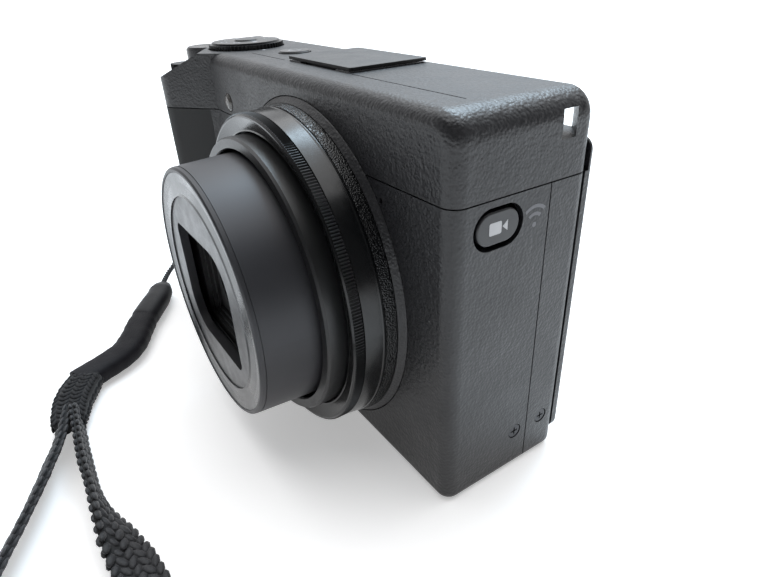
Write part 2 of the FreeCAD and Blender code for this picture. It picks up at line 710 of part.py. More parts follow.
# ---------------------------------------------------------------- deck controls

def hot_shoe():
    """Shoe rails, their contact plate and the cover that fills them."""
    half = SHOE_SLOT_WIDTH / 2
    x = (SHOE_X - half, SHOE_X + half)
    y = (SHOE_FRONT_Y, SHOE_REAR_Y)
    lip_z = SHOE_FLOOR_Z + SHOE_SLOT_HEIGHT
    rails = box((x[0] - 1.2, x[1] + 1.2), y, (SHOE_FLOOR_Z - 0.8, lip_z + 0.5))
    rails = rails.cut(box(x, (y[0] + 0.8, 20), (SHOE_FLOOR_Z, lip_z)))
    throat = (SHOE_X - SHOE_THROAT / 2, SHOE_X + SHOE_THROAT / 2)
    rails = rails.cut(box(throat, (y[0] - 1, 20), (lip_z - 0.01, 80)))
    contacts = [rod((SHOE_X + dx, dy, SHOE_FLOOR_Z), "Z", 0.9, 0.12) for dx, dy in
                ((0, 1.5), (-2.6, 4.6), (2.6, 4.6), (-2.6, 7.4), (2.6, 7.4))]
    foot = box((x[0] + GAP, x[1] - GAP), (y[0] + 1.0, y[1]), (SHOE_FLOOR_Z + 0.25, lip_z - GAP))
    web = box((throat[0] + GAP, throat[1] - GAP), (y[0] + 1.0, y[1]), (lip_z - 0.3, lip_z + 0.7))
    plate = prism(rectangle((x[0] - 1.7, x[1] + 1.7), (y[0] - 0.1, y[1] + 0.3), 0.5), "XY", lip_z + 0.65, lip_z + 1.15)
    return {"hot_shoe_rails": rails, "hot_shoe_contacts": Part.makeCompound(contacts),
            "hot_shoe_cover": join([foot, web, plate])}


def mode_dial():
    """Knurled dial with a well for its lock button."""
    base = (*MODE_DIAL, HEIGHT - 2.4)
    disc = toothed_disc(base, "Z", MODE_DIAL_R, 0.25, 60, 3.3)
    rim = lathe([(0, 3.0), (7.7, 3.0), (7.4, 3.7), (0, 3.7)], base, "Z")
    return join([disc, rim]).cut(rod((*MODE_DIAL, HEIGHT - 1.5), "Z", 2.6, 4))


def dial_lock_button():
    """Lock button in the middle of the mode dial."""
    return lathe([(0, 0), (2.5, 0), (2.5, 1.8), (2.3, 2.05), (0, 2.1)], (*MODE_DIAL, HEIGHT - 0.5), "Z")


def shutter_button():
    """Round release with a dished top."""
    return lathe([(0, 0), (SHUTTER_R, 0), (SHUTTER_R, 2.6), (4.3, 3.2), (2.8, 3.05), (0, 2.9)],
                 (*SHUTTER, HEIGHT - 3.5), "Z")


def power_button():
    """Small flat power button."""
    return lathe([(0, 0), (POWER_R, 0), (POWER_R, 1.9), (POWER_R - 0.25, 2.2), (0, 2.2)], (*POWER, HEIGHT - 1.8), "Z")


def front_dial():
    """Ridged thumb wheel in the recess of the grip's facet."""
    wheel = toothed_disc((*FRONT_DIAL, 56.2), "Z", FRONT_DIAL_R, 0.3, 30, 3.0)
    return wheel.fuse(rod((*FRONT_DIAL, 55.45), "Z", 1.5, 1.0))


# ---------------------------------------------------------------- rear and end controls

def rear_button(x, z):
    """Small domed button on the rear."""
    return lathe([(0, -2.4), (REAR_BUTTON_R, -2.4), (REAR_BUTTON_R, 0.45), (REAR_BUTTON_R - 0.4, 0.8), (0, 0.9)],
                 (x, Y_REAR, z), "Y")


def control_wheel():
    """Ring that turns round the confirm button."""
    ring = toothed_disc((WHEEL[0], Y_REAR - 2.2, WHEEL[1]), "Y", WHEEL_R, 0.2, 72, 3.1)
    return ring.cut(rod((WHEEL[0], Y_REAR - 3, WHEEL[1]), "Y", CONFIRM_R + 0.15, 6))


def confirm_button():
    """Round button in the middle of the control wheel."""
    return lathe([(0, -2.2), (CONFIRM_R, -2.2), (CONFIRM_R, 0.4), (CONFIRM_R - 0.4, 0.7), (0, 0.7)],
                 (WHEEL[0], Y_REAR, WHEEL[1]), "Y")


def adjust_lever():
    """Ribbed tab that rocks left and right on a round pivot."""
    tab = prism(rectangle((LEVER[0] - 3.4, LEVER[0] + 3.4), (LEVER[1] - 1.9, LEVER[1] + 1.9), 0.7), "XZ",
                Y_REAR - 3.5, Y_REAR + 1.5)
    for step in range(4):
        x = LEVER[0] - 2.3 + 1.4 * step
        tab = tab.cut(box((x, x + 0.4), (Y_REAR + 1.15, Y_REAR + 2), (LEVER[1] - 3, LEVER[1] + 3)))
    return join([tab, rod((LEVER[0], LEVER_PIVOT_Y, LEVER[1] - 1.6), "Z", 1.6, 3.2)])


def movie_button():
    """Stadium-shaped button set in a moat on the button end."""
    size = (MOVIE_SIZE[0] - 1.3, MOVIE_SIZE[1] - 1.3)
    button = stadium(MOVIE, size, "YZ", X_BUTTON_END - 2.2, X_BUTTON_END - 0.05)
    return soften(button, 0.3, lambda e: lies_at(e, "X", X_BUTTON_END - 0.05))


def ring_release_button():
    """Small round button beside the lens that frees the ring cap."""
    return lathe([(0, 2.4), (2.2, 2.4), (2.2, -0.1), (2.0, -0.3), (0, -0.3)], (-27.5, Y_FRONT, 9.5), "Y")


def focus_lamp():
    """Domed autofocus lamp."""
    return lathe([(0, 2.4), (1.8, 2.4), (1.8, -0.1), (1.2, -0.5), (0, -0.7)], (-32.0, Y_FRONT, 53.1), "Y")


# ---------------------------------------------------------------- strap

STRING_ROUTE = [(-68.2, 8.5, 57.8), (-72.0, 4.7, 57.3), (-74.2, 2.0, 52.0), (-75.2, -2.0, 39.0), (-76.0, -7.5, 24.0),
                (-76.2, -15.0, 10.0), (-73.0, -22.5, 3.2), (-67.5, -27.5, 2.2), (-61.0, -30.2, 2.6)]
SLIDER_ROUTE = [(-61.0, -30.1, 2.6), (-55.5, -32.2, 2.8), (-50.5, -35.6, 2.9)]
SLEEVE_ROUTE = [(-50.5, -35.6, 2.9), (-44.5, -39.6, 2.8), (-36.5, -43.5, 2.7), (-31.7, -48.0, 2.6),
                (-28.9, -56.6, 2.6)]
LOOP_ROUTE = [(-16.4, -60.5, 3.0), (-6.0, -64.3, 3.6), (1.5, -67.6, 3.7), (11.0, -72.6, 3.6), (24.0, -79.6, 3.2),
              (41.0, -89.0, 2.4), (64.0, -97.0, 1.8), (90.0, -97.0, 1.7), (109.0, -83.0, 1.7), (110.0, -63.0, 1.7),
              (94.0, -50.0, 1.7), (71.0, -48.5, 1.7), (50.0, -52.3, 1.7), (34.0, -55.4, 1.7), (22.0, -57.3, 1.9),
              (12.5, -58.6, 2.6), (4.5, -59.4, 3.3), (-4.5, -59.2, 3.6), (-16.4, -58.4, 3.0)]


def tube_along(route, diameter, name):
    """Round tube along straight runs joined by tangent arcs, each as large as its runs allow."""
    points = [V(*point) for point in route]
    edges = []
    cursor = points[0]
    radii = []
    for index in range(1, len(points) - 1):
        here = points[index]
        back = points[index - 1] - here
        ahead = points[index + 1] - here
        turn = math.pi - back.getAngle(ahead)
        reach = 0.45 * min(back.Length, ahead.Length)
        radii.append(reach / math.tan(turn / 2))
        back.normalize()
        ahead.normalize()
        middle = back + ahead
        middle.normalize()
        inner = radii[-1] / math.cos(turn / 2) - radii[-1]
        start = here + back * reach
        end = here + ahead * reach
        edges.append(Part.makeLine(cursor, start))
        edges.append(Part.Arc(start, here + middle * inner, end).toShape())
        cursor = end
    edges.append(Part.makeLine(cursor, points[-1]))
    path = Part.Wire(edges)
    first = points[1] - points[0]
    section = Part.Wire([Part.makeCircle(diameter / 2, points[0], first)])
    tube = path.makePipeShell([section], True, False)
    expected = math.pi * diameter ** 2 / 4 * path.Length
    print(f"{name}: length {path.Length:.1f}, least radius {min(radii):.1f} ({min(radii) / diameter:.1f} d), "
          f"volume {tube.Volume:.1f} of {expected:.1f}")
    return tube


def strap():
    """String through the eyelet, sleeve with its slider, stitched joint and wrist loop."""
    slider = tube_along(SLIDER_ROUTE, SLEEVE_D, "strap_slider")
    sleeve = tube_along(SLEEVE_ROUTE, SLEEVE_D, "strap_sleeve")
    joint = prism([(-24.5, -53.0, 1.5), (-32.3, -56.6, 1.5), (-24.6, -61.6, 1.5), (-15.6, -63.0, 1.5),
                   (-14.6, -57.0, 1.5), (-18.0, -54.4, 1.5)], "XY", 0.3, 4.8)
    return {"strap_string": tube_along(STRING_ROUTE, STRING_D, "strap_string"),
            "strap_sleeve": Part.makeCompound([slider, sleeve]), "strap_joint": joint,
            "wrist_loop": tube_along(LOOP_ROUTE, LOOP_D, "wrist_loop")}


# ---------------------------------------------------------------- export

def build():
    """Every node by name."""
    nodes = {}
    nodes.update(covers())
    nodes.update(hot_shoe())
    nodes.update(lens_groups())
    nodes.update(barrier_blades())
    nodes.update(strap())
    nodes["strap_bars"] = Part.makeCompound([strap_bar(X_BUTTON_END, 1), strap_bar(X_GRIP_END, -1)])
    nodes["battery_hinge_pin"] = hinge_pin()
    for name, (x, z) in REAR_BUTTONS.items():
        nodes[name] = rear_button(x, z)
    for maker in (lens_collar, base_plate, chassis, bayonet_ring, fixed_lens_tube, tripod_socket, main_board,
                  sensor_unit, battery_box, card_slot, screen_module, screen_window, focus_lamp, speaker,
                  usb_socket, case_screws, first_barrel, front_barrel, bezel_ring, inner_disc,
                  lens_cell, shutter_unit, ring_cap, ring_release_button, shutter_button, power_button, mode_dial,
                  dial_lock_button, front_dial, adjust_lever, control_wheel, confirm_button, movie_button,
                  battery_door, battery_latch, battery, memory_card, usb_cover):
        nodes[maker.__name__] = maker()
    return nodes


def main():
    """Write one STEP file per node."""
    os.makedirs("parts", exist_ok=True)
    for name, shape in sorted(build().items()):
        solids = len(shape.Solids)
        print(f"{name}: {solids} solid(s), {shape.Volume:.1f} mm3, valid {shape.isValid()}")
        shape.exportStep(f"parts/{name}.step")


if __name__ == "__main__":
    main()
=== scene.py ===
"""Looks of a compact digital camera with a wrist strap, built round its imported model.

Metres, in the model's own frame: +X to the end with the movie button, +Y from the lens to the
screen, +Z up. The camera stands on its base and the strap lies on the table in front of the grip.
"""

import enum
import logging
import math
from collections.abc import Callable
from dataclasses import dataclass, field

import bmesh
import bpy
from mathutils import Matrix, Vector


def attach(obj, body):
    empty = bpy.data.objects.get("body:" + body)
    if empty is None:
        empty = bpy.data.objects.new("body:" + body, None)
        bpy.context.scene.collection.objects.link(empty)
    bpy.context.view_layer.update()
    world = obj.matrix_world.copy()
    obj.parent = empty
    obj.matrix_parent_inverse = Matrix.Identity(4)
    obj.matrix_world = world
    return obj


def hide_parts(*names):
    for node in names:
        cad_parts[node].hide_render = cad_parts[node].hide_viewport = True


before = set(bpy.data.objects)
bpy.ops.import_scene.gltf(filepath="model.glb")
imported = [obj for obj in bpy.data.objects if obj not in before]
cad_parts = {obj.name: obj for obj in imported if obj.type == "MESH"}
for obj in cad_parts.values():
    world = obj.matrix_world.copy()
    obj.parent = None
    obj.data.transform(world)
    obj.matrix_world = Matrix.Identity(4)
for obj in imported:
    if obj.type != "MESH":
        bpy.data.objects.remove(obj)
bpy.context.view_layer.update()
log = logging.getLogger("camera")

MM = 0.001
LENS_Z_MM = 28.8
FACE_Y_MM = -13.0
END_X_MM = 39.3
REAR_Y_MM = 11.9
DECK_Z_MM = 61.9
Colour = tuple[float, float, float]
Spot = tuple[float, float, float]
Outline = list[tuple[float, float]]
Mesh = bpy.types.Mesh
Socket = bpy.types.NodeSocket


class Axis(enum.Enum):
    """Direction that a round part turns about."""

    X = 0
    Y = 1
    Z = 2


class Grain(enum.Enum):
    """Kind of surface relief."""

    PEBBLE = "pebbled paint"
    MOULDED = "moulded plastic"
    BRUSHED = "brushed metal"
    WRAPPED = "smooth leather"
    FIBRE = "spun fibre"


# ---------------------------------------------------------------- node trees

class NodeSheet:
    """Node tree with short calls that add and join its nodes."""

    def __init__(self, tree: bpy.types.NodeTree) -> None:
        """Take the tree that the nodes go in."""
        self.tree = tree

    def add(self, kind: str, wires: dict | None = None, **settings: object) -> bpy.types.Node:
        """Add a node.

        Args:
            kind: type of the node.
            wires: sockets by name or number, each with a value or another node's output.
            settings: plain settings of the node.

        Returns:
            The new node.
        """
        node = self.tree.nodes.new(kind)
        for name, value in settings.items():
            setattr(node, name, value)
        for name, value in (wires or {}).items():
            self.wire(value, node.inputs[name])
        return node

    def wire(self, source: object, socket: Socket) -> None:
        """Join an output to a socket, or set the socket's own value."""
        if isinstance(source, Socket):
            self.tree.links.new(source, socket)
        else:
            socket.default_value = source

    def maths(self, operation: str, first: object, second: object = 0.0) -> Socket:
        """One arithmetic step."""
        return self.add("ShaderNodeMath", {0: first, 1: second}, operation=operation).outputs[0]


class ShaderSheet(NodeSheet):
    """Node tree of one material."""

    def __init__(self, name: str) -> None:
        """Start an empty material with its main shader."""
        self.material = bpy.data.materials.new(name)
        self.material.use_nodes = True
        super().__init__(self.material.node_tree)
        self.shader = self.tree.nodes["Principled BSDF"]

    def place(self) -> Socket:
        """Position on the piece, in metres."""
        return self.add("ShaderNodeTexCoord").outputs["Object"]

    def noise(self, vector: Socket, size_mm: float, detail: float = 3.0) -> Socket:
        """Noise with features of about this size."""
        wires = {"Vector": vector, "Scale": 1.0 / (size_mm * MM), "Detail": detail, "Roughness": 0.55}
        return self.add("ShaderNodeTexNoise", wires).outputs["Fac"]

    def cells(self, vector: Socket, size_mm: float) -> Socket:
        """Distance to the nearest of many scattered centres."""
        wires = {"Vector": vector, "Scale": 1.0 / (size_mm * MM)}
        return self.add("ShaderNodeTexVoronoi", wires, feature="F1").outputs["Distance"]

    def span(self, value: Socket, source: tuple, target: tuple) -> Socket:
        """Map a value smoothly from one range to another."""
        wires = {"Value": value, "From Min": source[0], "From Max": source[1], "To Min": target[0],
                 "To Max": target[1]}
        return self.add("ShaderNodeMapRange", wires).outputs["Result"]

    def blend(self, share: object, first: object, second: object) -> Socket:
        """Mix two colours."""
        pick = [value if isinstance(value, Socket) else (*value, 1.0) for value in (first, second)]
        node = self.add("ShaderNodeMix", {0: share, 6: pick[0], 7: pick[1]}, data_type="RGBA")
        return node.outputs[2]

    def relief(self, height: Socket, depth_mm: float) -> None:
        """Bump the surface by a height, stacked on any bump that is there."""
        wires = {"Height": height, "Distance": depth_mm * MM, "Strength": 1.0}
        socket = self.shader.inputs["Normal"]
        if socket.is_linked:
            wires["Normal"] = socket.links[0].from_socket
        self.tree.links.new(self.add("ShaderNodeBump", wires).outputs["Normal"], socket)

    def set(self, **values: object) -> None:
        """Set or wire the main shader's sockets; an underscore stands for a space."""
        for name, value in values.items():
            self.wire(value, self.shader.inputs[name.replace("_", " ")])


@dataclass(frozen=True)
class Finish:
    """Surface of one kind, as a procedural material made once."""

    name: str
    colour: Colour
    roughness: float
    grain: Grain = Grain.MOULDED
    grain_mm: float = 0.4
    depth_mm: float = 0.02
    metallic: float = 0.0
    coat: float = 0.0
    specular: float = 0.5
    mottle: float = 0.25
    dust: float = 0.0
    sheen: float = 0.0

    def material(self) -> bpy.types.Material:
        """The finish's material, built at its first use."""
        known = bpy.data.materials.get(self.name)
        return known if known else self.build()

    def build(self) -> bpy.types.Material:
        """Make the material's nodes."""
        sheet = ShaderSheet(self.name)
        sheet.set(Metallic=self.metallic, Coat_Weight=self.coat, Coat_Roughness=0.12,
                  Specular_IOR_Level=self.specular, Sheen_Weight=self.sheen, Sheen_Roughness=0.45)
        place = sheet.place()
        self.shade(sheet, place)
        self.carve(sheet, place)
        return sheet.material

    def shade(self, sheet: ShaderSheet, place: Socket) -> None:
        """Colour and roughness that vary a little over the surface, with specks of dust."""
        broad = sheet.noise(place, self.grain_mm * 18, 2.0)
        fine = sheet.noise(place, self.grain_mm * 1.3, 2.0)
        dark = tuple(value * (1 - self.mottle) for value in self.colour)
        light = tuple(value * (1 + self.mottle) for value in self.colour)
        colour = sheet.blend(fine, dark, light)
        if self.dust:
            speck = sheet.cells(place, 5.5)
            speck = sheet.span(speck, (0.012, 0.03), (self.dust, 0.0))
            colour = sheet.blend(speck, colour, (0.5, 0.5, 0.5))
        sheet.set(Base_Color=colour)
        rough = sheet.maths("ADD", sheet.span(broad, (0.3, 0.7), (-0.05, 0.05)),
                            sheet.span(fine, (0.3, 0.7), (self.roughness - 0.03, self.roughness + 0.03)))
        sheet.set(Roughness=rough)

    def carve(self, sheet: ShaderSheet, place: Socket) -> None:
        """Relief of the surface."""
        if self.grain is Grain.PEBBLE:
            pebble = sheet.cells(place, self.grain_mm)
            sheet.relief(sheet.span(pebble, (0.0, 0.75), (1.0, 0.0)), self.depth_mm)
            sheet.relief(sheet.noise(place, self.grain_mm * 2.6, 3.0), self.depth_mm * 2.2)
        elif self.grain is Grain.BRUSHED:
            stretched = sheet.add("ShaderNodeMapping", {"Vector": place, "Scale": (0.05, 1.0, 1.0)})
            sheet.relief(sheet.noise(stretched.outputs[0], self.grain_mm, 3.0), self.depth_mm)
        elif self.grain is Grain.FIBRE:
            sheet.relief(sheet.noise(place, self.grain_mm, 4.0), self.depth_mm)
            sheet.relief(sheet.noise(place, self.grain_mm * 5, 2.0), self.depth_mm)
        elif self.grain is Grain.WRAPPED:
            wires = {"Vector": place, "Scale": 1 / (self.grain_mm * 4 * MM)}
            creases = sheet.add("ShaderNodeTexVoronoi", wires, feature="DISTANCE_TO_EDGE").outputs["Distance"]
            sheet.relief(sheet.span(creases, (0.0, 0.12), (0.0, 1.0)), self.depth_mm)
            sheet.relief(sheet.noise(place, self.grain_mm, 3.0), self.depth_mm)
        else:
            sheet.relief(sheet.noise(place, self.grain_mm, 3.0), self.depth_mm)


@dataclass(frozen=True)
class TurnedFinish(Finish):
    """Surface with fine rings left by a lathe about one axis."""

    axis: Axis = Axis.Y
    centre_mm: Spot = (0.0, 0.0, LENS_Z_MM)
    pitch_mm: float = 0.12

    def carve(self, sheet: ShaderSheet, place: Socket) -> None:
        """Rings that follow the distance along and from the axis."""
        centre = [-value * MM for value in self.centre_mm]
        moved = sheet.add("ShaderNodeVectorMath", {0: place, 1: centre}, operation="ADD").outputs[0]
        flat = [1.0, 1.0, 1.0]
        flat[self.axis.value] = 0.0
        away = sheet.add("ShaderNodeVectorMath", {0: moved, 1: flat}, operation="MULTIPLY").outputs[0]
        radius = sheet.add("ShaderNodeVectorMath", {0: away}, operation="LENGTH").outputs["Value"]
        split = sheet.add("ShaderNodeSeparateXYZ", {0: moved})
        along = split.outputs[self.axis.value]
        rings = sheet.add("ShaderNodeCombineXYZ", {0: radius, 1: along})
        sheet.relief(sheet.noise(rings.outputs[0], self.pitch_mm, 2.0), self.depth_mm)
        sheet.relief(sheet.noise(place, self.grain_mm, 2.0), self.depth_mm * 0.5)


@dataclass(frozen=True)
class BandedFinish(TurnedFinish):
    """Turned lacquer that ends in a coarse, sparkling band next to the case."""

    band_y_mm: float = -15.97
    grit_mm: float = 0.27
    grit_depth_mm: float = 0.08

    def carve(self, sheet: ShaderSheet, place: Socket) -> None:
        """Turned rings, with grit behind the band's edge."""
        super().carve(sheet, place)
        depth = sheet.add("ShaderNodeSeparateXYZ", {0: place}).outputs[1]
        edge = self.band_y_mm * MM
        band = sheet.span(depth, (edge - 0.00002, edge + 0.00002), (0.0, 1.0))
        grit = sheet.span(sheet.cells(place, self.grit_mm), (0.0, 0.7), (1.0, 0.0))
        sheet.relief(sheet.maths("MULTIPLY", band, grit), self.grit_depth_mm)


@dataclass(frozen=True)
class GlassFinish(Finish):
    """Clear or coated glass."""

    clear: float = 0.9
    index: float = 1.6

    def shade(self, sheet: ShaderSheet, place: Socket) -> None:
        """Tint with a faint smear of roughness."""
        smear = sheet.noise(place, 6.0, 2.0)
        tint = tuple(value * 0.9 for value in self.colour)
        sheet.set(Base_Color=sheet.blend(smear, tint, self.colour), IOR=self.index,
                  Transmission_Weight=self.clear,
                  Roughness=sheet.span(smear, (0.3, 0.7), (self.roughness, self.roughness + 0.02)))

    def carve(self, sheet: ShaderSheet, place: Socket) -> None:
        """Almost flat polish."""
        sheet.relief(sheet.noise(place, 9.0, 1.0), self.depth_mm)


@dataclass(frozen=True)
class BoardFinish(Finish):
    """Circuit board with its copper tracks."""

    def shade(self, sheet: ShaderSheet, place: Socket) -> None:
        """Green lacquer over straight tracks."""
        tracks = sheet.add("ShaderNodeTexBrick", {"Vector": place, "Scale": 260.0, "Mortar Size": 0.06})
        colour = sheet.blend(tracks.outputs["Fac"], self.colour, (0.05, 0.22, 0.09))
        sheet.set(Base_Color=colour, Roughness=sheet.span(tracks.outputs["Fac"], (0, 1), (0.45, 0.3)))


PAINT = Finish("case_paint", (0.0112, 0.0110, 0.0125), 0.43, Grain.PEBBLE, 0.5, 0.045, dust=0.35)
SHOE = Finish("shoe_cover_plastic", (0.0118, 0.0115, 0.0118), 0.46, Grain.MOULDED, 0.35, 0.012)
GRIP = Finish("grip_rubber", (0.0125, 0.0125, 0.0135), 0.5, Grain.PEBBLE, 0.5, 0.02, dust=0.2)
RING = BandedFinish("ring_lacquer", (0.003, 0.0033, 0.0038), 0.21, depth_mm=0.002, grain_mm=0.6, dust=0.3,
                    specular=0.42)
KNURL = TurnedFinish("knurled_band", (0.005, 0.0052, 0.0058), 0.36, depth_mm=0.004, grain_mm=0.2,
                     specular=0.35)
BARREL = TurnedFinish("barrel_satin", (0.006, 0.0065, 0.0074), 0.33, depth_mm=0.003, grain_mm=0.5,
                      specular=0.52)
FIRST = TurnedFinish("first_barrel_satin", (0.006, 0.0062, 0.0068), 0.4, depth_mm=0.004, grain_mm=0.5)
BEZEL = TurnedFinish("bezel_satin", (0.017, 0.017, 0.019), 0.3, depth_mm=0.002, grain_mm=0.4, specular=0.62)
DISC = Finish("disc_satin", (0.017, 0.017, 0.02), 0.38, Grain.MOULDED, 0.15, 0.004, specular=0.55)
CELL = Finish("cell_matte", (0.005, 0.005, 0.0055), 0.55, Grain.MOULDED, 0.2, 0.01)
BLADE = Finish("blade_matte", (0.008, 0.008, 0.009), 0.42, Grain.BRUSHED, 0.1, 0.003)
LENS = GlassFinish("coated_glass", (0.55, 0.6, 0.72), 0.02, depth_mm=0.001, coat=0.6)
SCREEN = GlassFinish("screen_glass", (0.006, 0.006, 0.008), 0.05, depth_mm=0.002, clear=0.0, coat=1.0,
                     index=1.5)
LAMP = GlassFinish("lamp_window", (0.16, 0.15, 0.14), 0.12, depth_mm=0.004, clear=0.35, index=1.49)
BUTTON = Finish("button_plastic", (0.011, 0.011, 0.0122), 0.36, Grain.MOULDED, 0.18, 0.006)
DIAL = TurnedFinish("mode_dial_metal", (0.013, 0.013, 0.0145), 0.33, depth_mm=0.006, grain_mm=0.3,
                    axis=Axis.Z, centre_mm=(-45.3, -2.2, 60.0), metallic=0.2)
SHUTTER = TurnedFinish("shutter_metal", (0.018, 0.018, 0.02), 0.28, depth_mm=0.008, grain_mm=0.3,
                       axis=Axis.Z, centre_mm=(-59.0, -6.9, 60.0), metallic=0.4, pitch_mm=0.16)
THUMBWHEEL = Finish("thumbwheel_rubber", (0.01, 0.01, 0.011), 0.5, Grain.MOULDED, 0.2, 0.01)
WHEEL = TurnedFinish("wheel_metal", (0.013, 0.013, 0.0145), 0.35, depth_mm=0.006, grain_mm=0.3,
                     centre_mm=(-52.0, 11.9, 30.0), metallic=0.2)
STEEL = Finish("plain_steel", (0.52, 0.52, 0.54), 0.28, Grain.BRUSHED, 0.12, 0.004, metallic=1.0, mottle=0.1)
SCREW = Finish("black_screw", (0.035, 0.035, 0.038), 0.33, Grain.BRUSHED, 0.1, 0.004, metallic=0.8)
CHASSIS = Finish("stamped_sheet", (0.5, 0.5, 0.52), 0.4, Grain.BRUSHED, 0.3, 0.006, metallic=1.0, mottle=0.1)
BOARD = BoardFinish("circuit_board", (0.02, 0.11, 0.05), 0.4, Grain.MOULDED, 0.3, 0.01)
SENSOR = Finish("sensor_frame", (0.03, 0.03, 0.035), 0.35, Grain.MOULDED, 0.3, 0.005)
INNER = Finish("inner_plastic", (0.03, 0.03, 0.032), 0.5, Grain.MOULDED, 0.3, 0.01)
BATTERY = Finish("battery_wrap", (0.05, 0.05, 0.055), 0.4, Grain.MOULDED, 0.5, 0.006)
CARD = Finish("card_shell", (0.02, 0.03, 0.07), 0.45, Grain.MOULDED, 0.2, 0.006)
BRASS = Finish("gold_contact", (0.75, 0.55, 0.25), 0.25, Grain.BRUSHED, 0.1, 0.003, metallic=1.0, mottle=0.08)
FLAP = Finish("flap_rubber", (0.013, 0.013, 0.014), 0.55, Grain.MOULDED, 0.25, 0.01)
CORD = Finish("cord_yarn", (0.008, 0.008, 0.009), 0.75, Grain.FIBRE, 0.09, 0.03, sheen=0.06)
SLEEVE = Finish("sleeve_leather", (0.0085, 0.008, 0.0105), 0.66, Grain.WRAPPED, 0.25, 0.02, specular=0.2)
SLIDER = Finish("slider_plastic", (0.008, 0.0078, 0.01), 0.55, Grain.MOULDED, 0.3, 0.008, specular=0.25)
YARN = Finish("braid_yarn", (0.021, 0.021, 0.0235), 0.62, Grain.FIBRE, 0.1, 0.05, mottle=0.5, sheen=0.1)
SEWN = Finish("sewn_yarn", (0.0135, 0.0135, 0.015), 0.68, Grain.FIBRE, 0.1, 0.05, mottle=0.5, specular=0.25)
CORE = Finish("braid_core", (0.008, 0.008, 0.009), 0.8, Grain.FIBRE, 0.12, 0.03, sheen=0.2)
WHITE_INK = Finish("white_ink", (0.42, 0.42, 0.43), 0.45, Grain.MOULDED, 0.1, 0.002, mottle=0.08)
GREY_INK = Finish("grey_ink", (0.10, 0.10, 0.11), 0.45, Grain.MOULDED, 0.1, 0.002, mottle=0.08)
DISPLAY = Finish("display_black", (0.004, 0.004, 0.005), 0.2, Grain.MOULDED, 0.3, 0.001, coat=0.5)
TABLE = Finish("table_top", (0.93, 0.93, 0.93), 0.75, Grain.MOULDED, 3.0, 0.02, mottle=0.01, specular=0.2)


# ---------------------------------------------------------------- mesh making

def new_piece(name: str, mesh: Mesh, finishes: tuple[Finish, ...], body: str | None,
              crease_deg: float = 35.0) -> bpy.types.Object:
    """Put a mesh in the scene as one piece.

    Args:
        name: name of the piece.
        mesh: its mesh, in place.
        finishes: its material slots in order.
        body: body that it rides on, or None for the table.
        crease_deg: angle from which an edge stays sharp.

    Returns:
        The object.
    """
    mesh.name = name
    piece = bpy.data.objects.new(name, mesh)
    bpy.context.scene.collection.objects.link(piece)
    mesh.materials.clear()
    for finish in finishes:
        mesh.materials.append(finish.material())
    mesh.shade_smooth()
    mesh.set_sharp_from_angle(angle=math.radians(crease_deg))
    if body:
        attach(piece, body)
    log.info("%s: %d faces", name, len(mesh.polygons))
    return piece


def mesh_from(sketch: bmesh.types.BMesh, name: str) -> Mesh:
    """Close up a sketch into a mesh with its faces outwards."""
    bmesh.ops.remove_doubles(sketch, verts=sketch.verts, dist=1e-6)
    bmesh.ops.recalc_face_normals(sketch, faces=sketch.faces)
    mesh = bpy.data.meshes.new(name)
    sketch.to_mesh(mesh)
    sketch.free()
    return mesh


def finished(holder: bpy.types.Object) -> Mesh:
    """Plain mesh of an object, with its modifiers or its curve worked out. The object is removed."""
    bpy.context.scene.collection.objects.link(holder)
    graph = bpy.context.evaluated_depsgraph_get()
    mesh = bpy.data.meshes.new_from_object(holder.evaluated_get(graph), depsgraph=graph)
    bpy.data.objects.remove(holder)
    return mesh


def sweep(sketch: bmesh.types.BMesh, stations: list[tuple[Vector, Vector, Vector, Outline]]) -> None:
    """Skin a closed body through cross-sections.

    Args:
        sketch: the mesh that takes the faces.
        stations: centre, side direction, up direction and (side, up) outline of each section.
    """
    loops = []
    for centre, side, up, outline in stations:
        loops.append([sketch.verts.new(centre + side * u + up * v) for u, v in outline])
    for first, second in zip(loops, loops[1:]):
        count = len(first)
        for index in range(count):
            after = (index + 1) % count
            sketch.faces.new((first[index], first[after], second[after], second[index]))
    sketch.faces.new(loops[0][::-1])
    sketch.faces.new(loops[-1])


def swept(name: str, stations: list[tuple[Vector, Vector, Vector, Outline]]) -> Mesh:
    """Mesh of one closed body skinned through cross-sections."""
    sketch = bmesh.new()
    sweep(sketch, stations)
    return mesh_from(sketch, name)


def ellipse(half_width: float, half_height: float, count: int, fullness: float = 2.0) -> Outline:
    """Outline of a superellipse; fullness 2 is a true ellipse and more is boxier."""
    points = []
    for step in range(count):
        angle = 2 * math.pi * step / count
        c, s = math.cos(angle), math.sin(angle)
        points.append((half_width * math.copysign(abs(c) ** (2 / fullness), c),
                       half_height * math.copysign(abs(s) ** (2 / fullness), s)))
    return points


